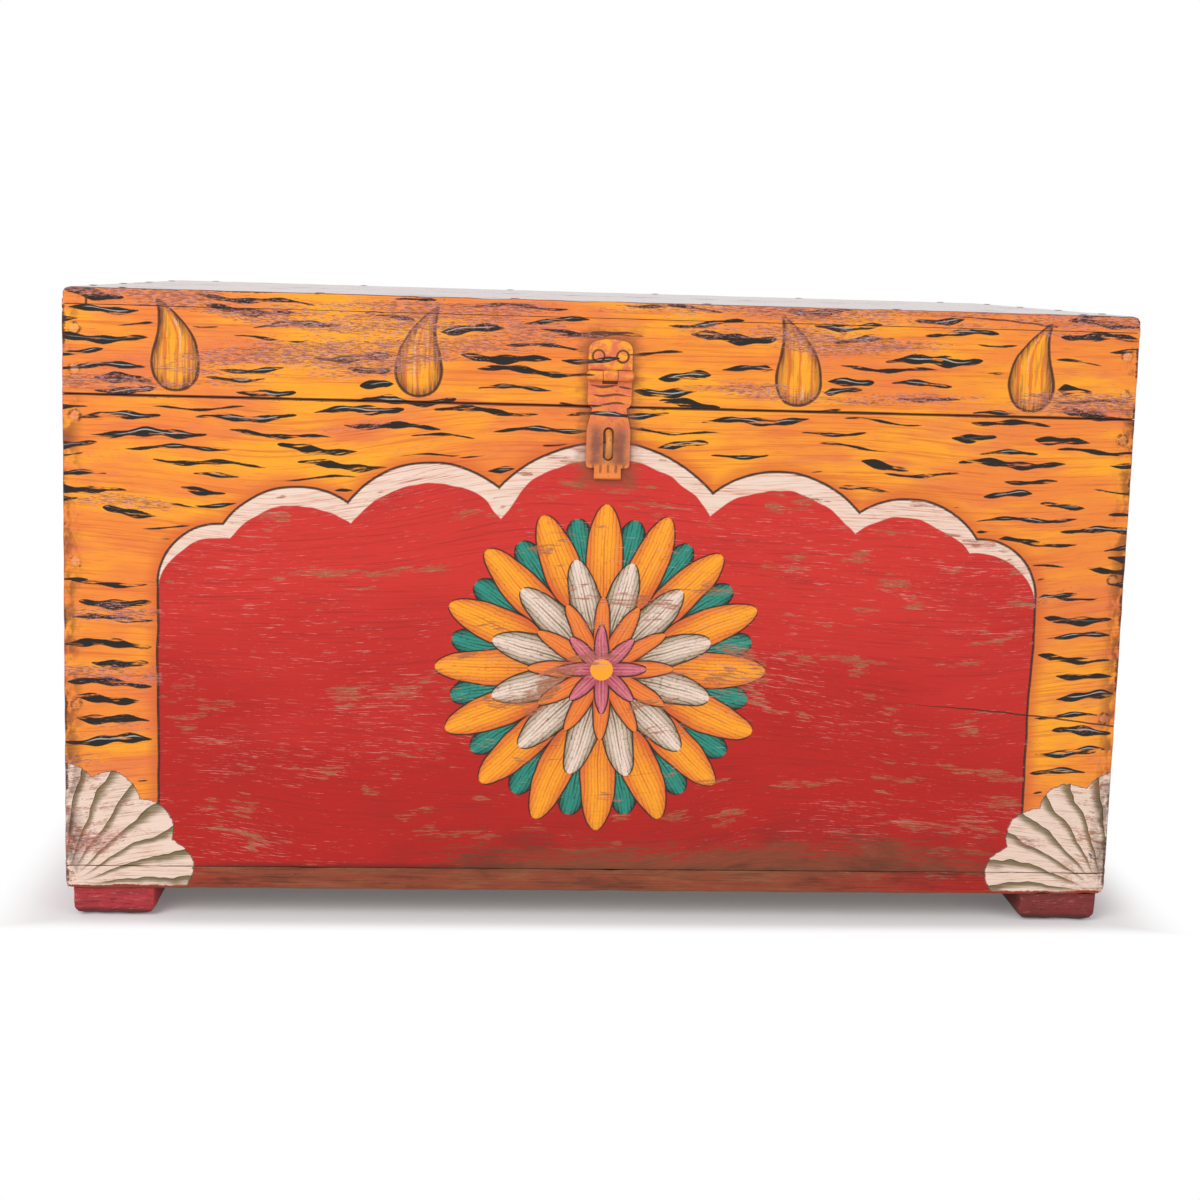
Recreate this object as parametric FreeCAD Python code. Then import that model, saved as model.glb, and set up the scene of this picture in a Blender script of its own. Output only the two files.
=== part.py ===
import FreeCAD
import Part

import math
import os

# A painted wooden storage trunk: nailed boards, a hinged box lid, an iron hasp and staple, block feet.
# Millimetres, +Z up, +X along the long side, the front towards -Y. The origin is on the floor, in the
# middle of the box that holds the whole trunk with its ironwork.

# Carcass and lid
BOX_WIDTH = 760.0
BOX_DEPTH = 420.0
WALL_THICKNESS = 18.0
WALL_HEIGHT = 338.0
BOTTOM_THICKNESS = 17.0
LID_RAIL_HEIGHT = 62.0
LID_TOP_THICKNESS = 12.0
LID_CLEARANCE = 0.3
PLANK_SEAM = 0.4
ARRIS_RADIUS = 2.0
RIM_EASE = 0.8
LID_END_RADIUS = 7.0
BOTTOM_END_RADIUS = 4.5

# Feet
FOOT_HEIGHT = 22.0
FOOT_WIDTH = 58.0
FOOT_DEPTH = 58.0
FOOT_INSET_SIDE = 5.0
FOOT_INSET_FACE = 3.0
FOOT_CORNER_RADIUS = 9.0
FOOT_EDGE_RADIUS = 7.5

# Forged nails
NAIL_LENGTH = 42.0
NAIL_SHANK = 3.0
NAIL_TIP = 1.2
NAIL_HEAD_RADIUS = 3.8
NAIL_HEAD_HEIGHT = 0.5
PLANK_NAIL_HEAD_HEIGHT = 0.3
HEAD_TAPER = 1.0
WALL_NAIL_MARGIN = 15.0
RAIL_NAIL_MARGIN = 17.0
PLANK_NAIL_MARGIN = 40.0
FOOT_NAIL_EDGE = 10.0
FOOT_NAIL_COVER = 8.0
WALL_NAIL_COUNT = 4
RAIL_NAIL_COUNT = 2
LONG_NAIL_COUNT = 6
SHORT_NAIL_COUNT = 4

# Rolled iron
PIN_CLEARANCE = 0.05
ROLL_CLEARANCE = 0.3
KNUCKLE_GAP = 0.4
ROLL_ANGLE = 295.0
PIN_HEAD_RIM = 0.9
PIN_HEAD_HEIGHT = 1.2

# Lid hinges
HINGE_WIDTH = 34.0
HINGE_SHEET = 2.2
HINGE_PIN_RADIUS = 2.5
HINGE_BOX_LENGTH = 78.0
HINGE_LID_LENGTH = 48.0
HINGE_END_RADIUS = 12.0
HINGE_NAIL_LENGTH = 16.0
HINGE_NAIL_MARGIN = 12.0
HINGE_BOX_NAILS = 3
HINGE_LID_NAILS = 2

# Hasp
HASP_AXIS_HEIGHT = 22.0
HASP_WIDTH = 31.0
HASP_SHEET = 1.7
HASP_PIN_RADIUS = 1.8
PLATE_LENGTH = 25.6
PLATE_CORNER_RADIUS = 7.0
PLATE_CROWN = 1.2
PLATE_NAIL_EDGE = 12.0
PLATE_NAIL_SPACING = 17.0
PLATE_NAIL_LENGTH = 15.0
PLATE_NAIL_HEAD_RADIUS = 4.2
PLATE_NAIL_HEAD_HEIGHT = 1.6
KNUCKLE_NOTCH = 2.0
FLAP_STEM = 18.5
FLAP_SHOULDER = 4.5
FLAP_NECK_WIDTH = 24.0
FLAP_FLARE = 15.5
FLAP_BODY = 27.0
FLAP_CORNER_RADIUS = 3.0
TONGUE_WIDTH = 19.0
TONGUE_FLAT = 3.0
TONGUE_CURL_RADIUS = 6.0
TONGUE_CURL_ANGLE = 40.0
SLOT_END_MARGIN = 5.2
SLOT_SIDE_CLEARANCE = 1.4
SLOT_END_CLEARANCE = 1.45

# Staple
STAPLE_WIRE_RADIUS = 2.25
STAPLE_EYE_HEIGHT = 12.0
STAPLE_STEM = 3.0
CLINCH_RADIUS = 4.5
CLINCH_LENGTH = 10.0

# Fillets that share a wall keep to this part of it
FILLET_SHARE = 0.8
TOUCH = 0.01

# Heights, from the floor up
BOX_Z = FOOT_HEIGHT
WALL_Z = BOX_Z + BOTTOM_THICKNESS
RIM_Z = WALL_Z + WALL_HEIGHT
LID_Z = RIM_Z + LID_CLEARANCE
RAIL_TOP_Z = LID_Z + LID_RAIL_HEIGHT
TOP_Z = RAIL_TOP_Z + LID_TOP_THICKNESS
HINGE_AXIS_Z = RIM_Z + LID_CLEARANCE / 2
HASP_AXIS_Z = LID_Z + HASP_AXIS_HEIGHT

# Plan: the ironwork in front and behind decides where the middle is
STAPLE_ARCH_RADIUS = STAPLE_EYE_HEIGHT / 2 + STAPLE_WIRE_RADIUS
FRONT_REACH = STAPLE_STEM + STAPLE_ARCH_RADIUS + STAPLE_WIRE_RADIUS
BACK_REACH = 2 * (HINGE_PIN_RADIUS + PIN_CLEARANCE + HINGE_SHEET) + ROLL_CLEARANCE
FRONT_Y = FRONT_REACH - (FRONT_REACH + BOX_DEPTH + BACK_REACH) / 2
BACK_Y = FRONT_Y + BOX_DEPTH
MIDDLE_Y = (FRONT_Y + BACK_Y) / 2
HALF_WIDTH = BOX_WIDTH / 2
INNER_X = HALF_WIDTH - WALL_THICKNESS
INNER_FRONT_Y = FRONT_Y + WALL_THICKNESS
INNER_BACK_Y = BACK_Y - WALL_THICKNESS
WALL_MIDDLE_X = HALF_WIDTH - WALL_THICKNESS / 2
WALL_MIDDLE = WALL_THICKNESS / 2

# Nail rows along the planks; the hinges stand midway between the two outer nails of the lid
TOP_ROW_END = HALF_WIDTH - PLANK_NAIL_MARGIN
TOP_ROW_STEP = 2 * TOP_ROW_END / (LONG_NAIL_COUNT - 1)
HINGE_X = TOP_ROW_END - TOP_ROW_STEP / 2

# Hasp flap, measured down from its pin
SHOULDER_V = FLAP_STEM + FLAP_SHOULDER
FLARE_V = SHOULDER_V + FLAP_FLARE
BODY_END_V = FLARE_V + FLAP_BODY
SLOT_LENGTH = 2 * (STAPLE_ARCH_RADIUS + STAPLE_WIRE_RADIUS + SLOT_END_CLEARANCE)
SLOT_HALF_WIDTH = STAPLE_WIRE_RADIUS + SLOT_SIDE_CLEARANCE
SLOT_CENTRE_V = BODY_END_V - SLOT_END_MARGIN - SLOT_LENGTH / 2
STAPLE_Z = HASP_AXIS_Z - SLOT_CENTRE_V


def point(x, y, z):
    return FreeCAD.Vector(x, y, z)


def block(x_range, y_range, z_range):
    """A rectangular solid between three pairs of limits, given in either order."""
    low = point(min(x_range), min(y_range), min(z_range))
    high = point(max(x_range), max(y_range), max(z_range))
    size = high - low
    return Part.makeBox(size.x, size.y, size.z, low)


def lies_on(edge, axis, value):
    """True where the whole edge lies in the plane axis = value."""
    bounds = edge.BoundBox
    low = getattr(bounds, axis + "Min")
    high = getattr(bounds, axis + "Max")
    return abs(low - value) < TOUCH and abs(high - value) < TOUCH


def spread(low, high, count):
    """Evenly spaced places from low to high, both included."""
    step = (high - low) / (count - 1)
    return [low + step * index for index in range(count)]


# Boards


def facing_board(outer_y, inner_y, z_low, z_high):
    """A full-width front or back board with rounded uprights and eased rims."""
    board = block((-HALF_WIDTH, HALF_WIDTH), (outer_y, inner_y), (z_low, z_high))
    uprights = [
        edge
        for edge in board.Edges
        if lies_on(edge, "Y", outer_y) and not lies_on(edge, "Z", z_low) and not lies_on(edge, "Z", z_high)
    ]
    board = board.makeFillet(ARRIS_RADIUS, uprights)
    rims = [
        edge
        for edge in board.Edges
        if (lies_on(edge, "Z", z_low) or lies_on(edge, "Z", z_high)) and not lies_on(edge, "Y", inner_y)
    ]
    return board.makeFillet(RIM_EASE, rims)


def side_board(side, z_low, z_high):
    """A side board, which stands between the front and back boards."""
    outer_x = side * HALF_WIDTH
    board = block((outer_x, side * INNER_X), (INNER_FRONT_Y, INNER_BACK_Y), (z_low, z_high))
    rims = [
        edge
        for edge in board.Edges
        if lies_on(edge, "X", outer_x) and (lies_on(edge, "Z", z_low) or lies_on(edge, "Z", z_high))
    ]
    return board.makeFillet(RIM_EASE, rims)


def plank(outer_y, seam_y, outer_z, inner_z, end_radius):
    """Half of the lid's top or of the bottom, with rounded ends and a rounded outer long edge."""
    up = 1 if outer_z > inner_z else -1
    radius = min(end_radius, FILLET_SHARE * abs(outer_z - inner_z))
    turn = radius * (1 - math.sqrt(0.5))
    start_z = outer_z - up * radius
    edges = []
    for side in (-1, 1):
        end = side * HALF_WIDTH
        inner = point(end, outer_y, inner_z)
        start = point(end, outer_y, start_z)
        middle = point(end - side * turn, outer_y, outer_z - up * turn)
        stop = point(end - side * radius, outer_y, outer_z)
        edges.append(Part.makeLine(inner, start))
        edges.append(Part.Arc(start, middle, stop).toShape())
    for x, z in ((HALF_WIDTH, inner_z), (HALF_WIDTH - radius, outer_z)):
        edges.append(Part.makeLine(point(-x, outer_y, z), point(x, outer_y, z)))
    section = Part.Face(Part.Wire(Part.sortEdges(edges)[0]))
    board = section.extrude(point(0, seam_y - outer_y, 0))
    rounded = [
        edge for edge in board.Edges if lies_on(edge, "Y", outer_y) and not lies_on(edge, "Z", inner_z)
    ]
    return board.makeFillet(ARRIS_RADIUS, rounded)


def foot(side, outer_y, inward):
    """A block foot with rounded corners and a rounded lower edge."""
    outer_x = side * (HALF_WIDTH - FOOT_INSET_SIDE)
    face_y = outer_y + inward * FOOT_INSET_FACE
    solid = block(
        (outer_x, outer_x - side * FOOT_WIDTH), (face_y, face_y + inward * FOOT_DEPTH), (0, FOOT_HEIGHT)
    )
    uprights = [
        edge for edge in solid.Edges if not lies_on(edge, "Z", 0) and not lies_on(edge, "Z", FOOT_HEIGHT)
    ]
    solid = solid.makeFillet(FOOT_CORNER_RADIUS, uprights)
    return solid.makeFillet(FOOT_EDGE_RADIUS, [edge for edge in solid.Edges if lies_on(edge, "Z", 0)])


# Nails


def nail(seat, direction, length=NAIL_LENGTH, head_radius=NAIL_HEAD_RADIUS, head_height=NAIL_HEAD_HEIGHT):
    """A forged nail: square tapering shank, low round head whose underside is at seat."""
    half = NAIL_SHANK / 2
    tip = NAIL_TIP / 2
    shank = Part.makeWedge(-half, 0, -half, -tip, -tip, half, length, half, tip, tip)
    head = Part.makeCone(head_radius, head_radius - HEAD_TAPER, head_height, point(0, 0, 0), point(0, -1, 0))
    solid = shank.fuse(head).removeSplitter().Solids[0]
    solid.Placement = FreeCAD.Placement(seat, FreeCAD.Rotation(point(0, 1, 0), direction))
    return solid


def corner_nails(face_y, inward, heights):
    """Nails through a front or back board into the ends of both side boards."""
    return [
        nail(point(side * WALL_MIDDLE_X, face_y, z), point(0, inward, 0)) for side in (-1, 1) for z in heights
    ]


def plank_nails(face_z, upward, long_end, short_end):
    """Nails through the planks into the four walls or rails behind them, driven nearly flush."""
    direction = point(0, 0, upward)
    seats = []
    for y in (FRONT_Y + WALL_MIDDLE, BACK_Y - WALL_MIDDLE):
        seats += [point(x, y, face_z) for x in spread(-long_end, long_end, LONG_NAIL_COUNT)]
    for x in (-WALL_MIDDLE_X, WALL_MIDDLE_X):
        for offset in spread(-short_end, short_end, SHORT_NAIL_COUNT):
            seats.append(point(x, MIDDLE_Y + offset, face_z))
    return [nail(seat, direction, head_height=PLANK_NAIL_HEAD_HEIGHT) for seat in seats]


def foot_nail_group():
    """Two nails into each foot, driven from inside the trunk through the bottom planks."""
    length = BOTTOM_THICKNESS + FOOT_HEIGHT - FOOT_NAIL_COVER
    foot_x = HALF_WIDTH - FOOT_INSET_SIDE - FOOT_WIDTH + FOOT_NAIL_EDGE
    foot_y = FOOT_INSET_FACE + FOOT_DEPTH - FOOT_NAIL_EDGE
    wall_x = INNER_X - FOOT_NAIL_EDGE
    wall_y = WALL_THICKNESS + FOOT_NAIL_EDGE
    nails = []
    for side in (-1, 1):
        for face_y, inward in ((FRONT_Y, 1), (BACK_Y, -1)):
            for x, y in ((foot_x, wall_y), (wall_x, foot_y)):
                seat = point(side * x, face_y + inward * y, WALL_Z)
                nails.append(nail(seat, point(0, 0, -1), length))
    return nails


# Rolled knuckles


class Barrel:
    """A rolled hinge barrel along X, outside a wall, with leaves that run away from it up or down.

    u is measured out from the wall, v along a leaf from the pin."""

    def __init__(self, wall_y, outward, axis_z, pin_radius, sheet):
        self.wall_y = wall_y
        self.outward = outward
        self.axis_z = axis_z
        self.pin_radius = pin_radius
        self.sheet = sheet
        self.bore = pin_radius + PIN_CLEARANCE
        self.radius = self.bore + sheet
        self.offset = self.radius + ROLL_CLEARANCE
        self.sheet_start = self.radius + KNUCKLE_GAP

    def at(self, x, u, v, along):
        return point(x, self.wall_y + self.outward * u, self.axis_z + along * v)

    def rolled(self, x, radius, degrees, along):
        """A place on the roll, counted from the side next to the wall and over the far side."""
        angle = math.radians(degrees)
        return self.at(x, self.offset - radius * math.cos(angle), -radius * math.sin(angle), along)

    def knuckle(self, x_range, along, standoff):
        """One knuckle: the sheet runs up to the barrel and rolls round the pin."""
        x = x_range[0]
        corners = [
            self.rolled(x, self.radius, 0, along),
            self.at(x, standoff, self.sheet_start, along),
            self.at(x, standoff + self.sheet, self.sheet_start, along),
            self.rolled(x, self.bore, 0, along),
        ]
        inner_middle = self.rolled(x, self.bore, ROLL_ANGLE / 2, along)
        inner_end = self.rolled(x, self.bore, ROLL_ANGLE, along)
        outer_middle = self.rolled(x, self.radius, ROLL_ANGLE / 2, along)
        outer_end = self.rolled(x, self.radius, ROLL_ANGLE, along)
        edges = [Part.makeLine(a, b) for a, b in zip(corners, corners[1:])]
        edges.append(Part.Arc(corners[-1], inner_middle, inner_end).toShape())
        edges.append(Part.makeLine(inner_end, outer_end))
        edges.append(Part.Arc(outer_end, outer_middle, corners[0]).toShape())
        return Part.Face(Part.Wire(edges)).extrude(point(x_range[1] - x, 0, 0))

    def sheet_solid(self, x_middle, start, steps, along, standoff):
        """A flat leaf from the right half of its outline: lines are (x, v), arcs add a point midway."""

        def place(pair, mirror):
            return self.at(x_middle + mirror * pair[0], standoff, pair[1], along)

        edges = [Part.makeLine(place(start, -1), place(start, 1))]
        for mirror in (1, -1):
            here = start
            for step in steps:
                end = step[-2:]
                if len(step) == 4:
                    arc = Part.Arc(place(here, mirror), place(step[:2], mirror), place(end, mirror))
                    edges.append(arc.toShape())
                else:
                    edges.append(Part.makeLine(place(here, mirror), place(end, mirror)))
                here = end
        if here[0] > TOUCH:
            edges.append(Part.makeLine(place(here, 1), place(here, -1)))
        face = Part.Face(Part.Wire(Part.sortEdges(edges)[0]))
        return face.extrude(point(0, self.outward * self.sheet, 0))

    def spans(self, x_middle, width):
        """The three knuckles' places along the pin."""
        knuckle = (width - 2 * KNUCKLE_GAP) / 3
        starts = [x_middle - width / 2 + index * (knuckle + KNUCKLE_GAP) for index in range(3)]
        return [(start, start + knuckle) for start in starts]

    def pin(self, x_middle, width):
        """The pin, with a burred-over head at each end."""
        axis = self.at(x_middle - width / 2, self.offset, 0, 1)
        solid = Part.makeCylinder(self.pin_radius, width, axis, point(1, 0, 0))
        head_radius = self.pin_radius + PIN_HEAD_RIM
        for side in (-1, 1):
            seat = self.at(x_middle + side * width / 2, self.offset, 0, 1)
            head = Part.makeCone(head_radius, self.pin_radius, PIN_HEAD_HEIGHT, seat, point(side, 0, 0))
            solid = solid.fuse(head)
        return solid.removeSplitter().Solids[0]


def rounded_corner(x, v, radius):
    """Steps round a corner at (x, v), from the side onto the end."""
    turn = radius * (1 - math.sqrt(0.5))
    return [(x, v - radius), (x - turn, v - turn, x - radius, v)]


def joined(solids):
    """Touching solids of one forged piece, as one solid."""
    return solids[0].fuse(solids[1:]).removeSplitter().Solids[0]


# Lid hinges

HINGE = Barrel(BACK_Y, 1, HINGE_AXIS_Z, HINGE_PIN_RADIUS, HINGE_SHEET)


def hinge_leaf(x_middle, length, along, knuckles):
    """A hinge strap with a rounded end and the knuckles it carries."""
    half = HINGE_WIDTH / 2
    steps = rounded_corner(half, length, min(HINGE_END_RADIUS, FILLET_SHARE * half))
    strap = HINGE.sheet_solid(x_middle, (half, HINGE.sheet_start), steps, along, 0)
    spans = HINGE.spans(x_middle, HINGE_WIDTH)
    return joined([strap] + [HINGE.knuckle(spans[index], along, 0) for index in knuckles])


def hinge_nails(length, along, count):
    """Nails down the middle of one strap of both hinges."""
    first = HINGE.sheet_start + HINGE_NAIL_MARGIN
    places = spread(first, length - HINGE_NAIL_MARGIN, count)
    return [
        nail(HINGE.at(side * HINGE_X, HINGE_SHEET, v, along), point(0, -1, 0), HINGE_NAIL_LENGTH)
        for side in (-1, 1)
        for v in places
    ]


# Hasp and staple

HASP = Barrel(FRONT_Y, -1, HASP_AXIS_Z, HASP_PIN_RADIUS, HASP_SHEET)


def hasp_plate():
    """The fixed plate on the lid, round-shouldered and slightly crowned, with the middle knuckle."""
    half = HASP_WIDTH / 2
    side_end = PLATE_LENGTH - PLATE_CROWN
    crown = PLATE_LENGTH - PLATE_CROWN / 4
    steps = rounded_corner(half, side_end, PLATE_CORNER_RADIUS)
    steps.append(((half - PLATE_CORNER_RADIUS) / 2, crown, 0, PLATE_LENGTH))
    sheet = HASP.sheet_solid(0, (half, HASP.sheet_start), steps, 1, 0)
    middle = HASP.spans(0, HASP_WIDTH)[1]
    return joined([sheet, HASP.knuckle(middle, 1, 0)])


def hasp_plate_nail_group():
    """Two broad-headed nails that hold the plate to the lid."""
    v = PLATE_LENGTH - PLATE_NAIL_EDGE
    return [
        nail(
            HASP.at(side * PLATE_NAIL_SPACING / 2, HASP_SHEET, v, 1),
            point(0, 1, 0),
            PLATE_NAIL_LENGTH,
            PLATE_NAIL_HEAD_RADIUS,
            PLATE_NAIL_HEAD_HEIGHT,
        )
        for side in (-1, 1)
    ]


def flap_tongue():
    """The finger tongue at the flap's end, flat for a stretch and then curled away from the box."""
    left = -TONGUE_WIDTH / 2
    back = ROLL_CLEARANCE
    face = back + HASP_SHEET
    curl_v = BODY_END_V + TONGUE_FLAT
    centre_u = face + TONGUE_CURL_RADIUS

    def curled(radius, degrees):
        angle = math.radians(degrees)
        return HASP.at(left, centre_u - radius * math.cos(angle), curl_v + radius * math.sin(angle), -1)

    outer_radius = TONGUE_CURL_RADIUS + HASP_SHEET
    half_turn = TONGUE_CURL_ANGLE / 2
    back_top = HASP.at(left, back, BODY_END_V, -1)
    face_top = HASP.at(left, face, BODY_END_V, -1)
    back_bend = curled(outer_radius, 0)
    back_end = curled(outer_radius, TONGUE_CURL_ANGLE)
    face_end = curled(TONGUE_CURL_RADIUS, TONGUE_CURL_ANGLE)
    face_bend = curled(TONGUE_CURL_RADIUS, 0)
    edges = [
        Part.makeLine(face_top, back_top),
        Part.makeLine(back_top, back_bend),
        Part.Arc(back_bend, curled(outer_radius, half_turn), back_end).toShape(),
        Part.makeLine(back_end, face_end),
        Part.Arc(face_end, curled(TONGUE_CURL_RADIUS, half_turn), face_bend).toShape(),
        Part.makeLine(face_bend, face_top),
    ]
    return Part.Face(Part.Wire(edges)).extrude(point(TONGUE_WIDTH, 0, 0))


def flap_slot():
    """The slot that drops over the staple, with round ends."""
    straight = SLOT_LENGTH / 2 - SLOT_HALF_WIDTH
    inside = FRONT_Y
    outside = FRONT_Y - 2 * HASP.offset
    middle_z = STAPLE_Z
    slot = block(
        (-SLOT_HALF_WIDTH, SLOT_HALF_WIDTH), (inside, outside), (middle_z - straight, middle_z + straight)
    )
    ends = [
        Part.makeCylinder(
            SLOT_HALF_WIDTH, inside - outside, point(0, outside, middle_z + end * straight), point(0, 1, 0)
        )
        for end in (-1, 1)
    ]
    return slot.fuse(ends)


def knuckle_notch():
    """Room in the top of the flap under the plate's knuckle."""
    left, right = HASP.spans(0, HASP_WIDTH)[1]
    top = HASP_AXIS_Z - HASP.sheet_start
    return block(
        (left - KNUCKLE_GAP, right + KNUCKLE_GAP),
        (FRONT_Y, FRONT_Y - 2 * HASP.offset),
        (top, top - KNUCKLE_NOTCH),
    )


def hasp_flap():
    """The swinging flap: stem, neck, flared body with the slot, and tongue, on the outer knuckles."""
    half = HASP_WIDTH / 2
    neck = FLAP_NECK_WIDTH / 2
    shoulder_x = neck + FILLET_SHARE * (half - neck)
    shoulder_v = FLAP_STEM + FLAP_SHOULDER / 2
    steps = [(half, FLAP_STEM), (shoulder_x, shoulder_v, neck, SHOULDER_V), (half, FLARE_V)]
    steps += rounded_corner(half, BODY_END_V, FLAP_CORNER_RADIUS)
    sheet = HASP.sheet_solid(0, (half, HASP.sheet_start), steps, -1, ROLL_CLEARANCE)
    spans = HASP.spans(0, HASP_WIDTH)
    knuckles = [HASP.knuckle(spans[index], -1, ROLL_CLEARANCE) for index in (0, 2)]
    sheet = sheet.cut([flap_slot(), knuckle_notch()])
    return joined([sheet, flap_tongue()] + knuckles)


def staple():
    """A wire staple: an arch in front of the flap, two legs through the board, ends clinched inside."""
    arch_y = FRONT_Y - STAPLE_STEM
    clinch_y = INNER_FRONT_Y + STAPLE_WIRE_RADIUS
    bend_y = clinch_y - CLINCH_RADIUS
    turn = CLINCH_RADIUS * (1 - math.sqrt(0.5))

    def leg(side):
        leg_z = STAPLE_Z + side * STAPLE_ARCH_RADIUS
        run_z = leg_z + side * CLINCH_RADIUS
        end = point(0, clinch_y, run_z + side * CLINCH_LENGTH)
        bend_end = point(0, clinch_y, run_z)
        bend_middle = point(0, clinch_y - turn, leg_z + side * turn)
        bend_start = point(0, bend_y, leg_z)
        arch_start = point(0, arch_y, leg_z)
        edges = [
            Part.makeLine(end, bend_end),
            Part.Arc(bend_end, bend_middle, bend_start).toShape(),
            Part.makeLine(bend_start, arch_start),
        ]
        return edges, end, arch_start

    upper, upper_end, upper_arch = leg(1)
    lower, lower_end, lower_arch = leg(-1)
    crown = point(0, arch_y - STAPLE_ARCH_RADIUS, STAPLE_Z)
    arch = Part.Arc(upper_arch, crown, lower_arch).toShape()
    path = Part.Wire(Part.sortEdges(upper + [arch] + lower)[0])
    section = Part.Wire(Part.makeCircle(STAPLE_WIRE_RADIUS, upper_end, point(0, 0, -1)))
    return path.makePipeShell([section], True, True).Solids[0]


# Assembly


def wooden_pieces():
    """Every wooden piece before its nail holes, with the groups of fixings that pierce it."""
    pieces = {
        "front_board": (
            facing_board(FRONT_Y, INNER_FRONT_Y, WALL_Z, RIM_Z),
            ("front_nails", "bottom_nails", "staple"),
        ),
        "back_board": (
            facing_board(BACK_Y, INNER_BACK_Y, WALL_Z, RIM_Z),
            ("back_nails", "bottom_nails", "hinge_box_nails"),
        ),
        "lid_front_rail": (
            facing_board(FRONT_Y, INNER_FRONT_Y, LID_Z, RAIL_TOP_Z),
            ("lid_corner_nails", "lid_top_nails", "hasp_plate_nails"),
        ),
        "lid_back_rail": (
            facing_board(BACK_Y, INNER_BACK_Y, LID_Z, RAIL_TOP_Z),
            ("lid_corner_nails", "lid_top_nails", "hinge_lid_nails"),
        ),
    }
    for side, hand in ((-1, "left"), (1, "right")):
        pieces[hand + "_side_board"] = (
            side_board(side, WALL_Z, RIM_Z),
            ("front_nails", "back_nails", "bottom_nails"),
        )
        pieces["lid_" + hand + "_rail"] = (
            side_board(side, LID_Z, RAIL_TOP_Z),
            ("lid_corner_nails", "lid_top_nails"),
        )
    for outer_y, inward, place in ((FRONT_Y, 1, "front"), (BACK_Y, -1, "rear")):
        seam_y = MIDDLE_Y - inward * PLANK_SEAM / 2
        pieces["bottom_" + place + "_plank"] = (
            plank(outer_y, seam_y, BOX_Z, WALL_Z, BOTTOM_END_RADIUS),
            ("bottom_nails", "foot_nails"),
        )
        pieces["lid_top_" + place + "_plank"] = (
            plank(outer_y, seam_y, TOP_Z, RAIL_TOP_Z, LID_END_RADIUS),
            ("lid_top_nails",),
        )
        for side, hand in ((-1, "left"), (1, "right")):
            pieces["foot_" + place + "_" + hand] = (foot(side, outer_y, inward), ("foot_nails",))
    return pieces


def fixings():
    """The groups of nails, and the staple, by node name."""
    wall_heights = spread(WALL_Z + WALL_NAIL_MARGIN, RIM_Z - WALL_NAIL_MARGIN, WALL_NAIL_COUNT)
    rail_heights = spread(LID_Z + RAIL_NAIL_MARGIN, RAIL_TOP_Z - RAIL_NAIL_MARGIN, RAIL_NAIL_COUNT)
    bottom_long = HALF_WIDTH - FOOT_INSET_SIDE - FOOT_WIDTH - FOOT_NAIL_EDGE
    bottom_short = BOX_DEPTH / 2 - FOOT_INSET_FACE - FOOT_DEPTH - FOOT_NAIL_EDGE
    top_short = BOX_DEPTH / 2 - WALL_THICKNESS - PLANK_NAIL_MARGIN
    groups = {
        "front_nails": corner_nails(FRONT_Y, 1, wall_heights),
        "back_nails": corner_nails(BACK_Y, -1, wall_heights),
        "bottom_nails": plank_nails(BOX_Z, 1, bottom_long, bottom_short),
        "foot_nails": foot_nail_group(),
        "hinge_box_nails": hinge_nails(HINGE_BOX_LENGTH, -1, HINGE_BOX_NAILS),
        "lid_corner_nails": corner_nails(FRONT_Y, 1, rail_heights) + corner_nails(BACK_Y, -1, rail_heights),
        "lid_top_nails": plank_nails(TOP_Z, -1, TOP_ROW_END, top_short),
        "hinge_lid_nails": hinge_nails(HINGE_LID_LENGTH, 1, HINGE_LID_NAILS),
        "hasp_plate_nails": hasp_plate_nail_group(),
    }
    nodes = {name: Part.makeCompound(nails) for name, nails in groups.items()}
    nodes["staple"] = staple()
    return nodes


def trunk():
    """All nodes by name."""
    nodes = fixings()
    for name, (solid, pierced_by) in wooden_pieces().items():
        for group in pierced_by:
            solid = solid.cut(nodes[group])
        nodes[name] = solid.Solids[0]
    for side, hand in ((-1, "left"), (1, "right")):
        x = side * HINGE_X
        box_leaf = hinge_leaf(x, HINGE_BOX_LENGTH, -1, (0, 2))
        lid_leaf = hinge_leaf(x, HINGE_LID_LENGTH, 1, (1,))
        nodes["hinge_" + hand + "_box_leaf"] = box_leaf.cut(nodes["hinge_box_nails"]).Solids[0]
        nodes["hinge_" + hand + "_lid_leaf"] = lid_leaf.cut(nodes["hinge_lid_nails"]).Solids[0]
        nodes["hinge_" + hand + "_pin"] = HINGE.pin(x, HINGE_WIDTH)
    nodes["hasp_plate"] = hasp_plate().cut(nodes["hasp_plate_nails"]).Solids[0]
    nodes["hasp_pin"] = HASP.pin(0, HASP_WIDTH)
    nodes["hasp_flap"] = hasp_flap()
    return nodes


os.makedirs("parts", exist_ok=True)
for node_name, shape in trunk().items():
    shape.exportStep("parts/" + node_name + ".step")
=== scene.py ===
import math
import random

import bpy
import numpy as np
from mathutils import Matrix, Vector, noise


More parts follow.
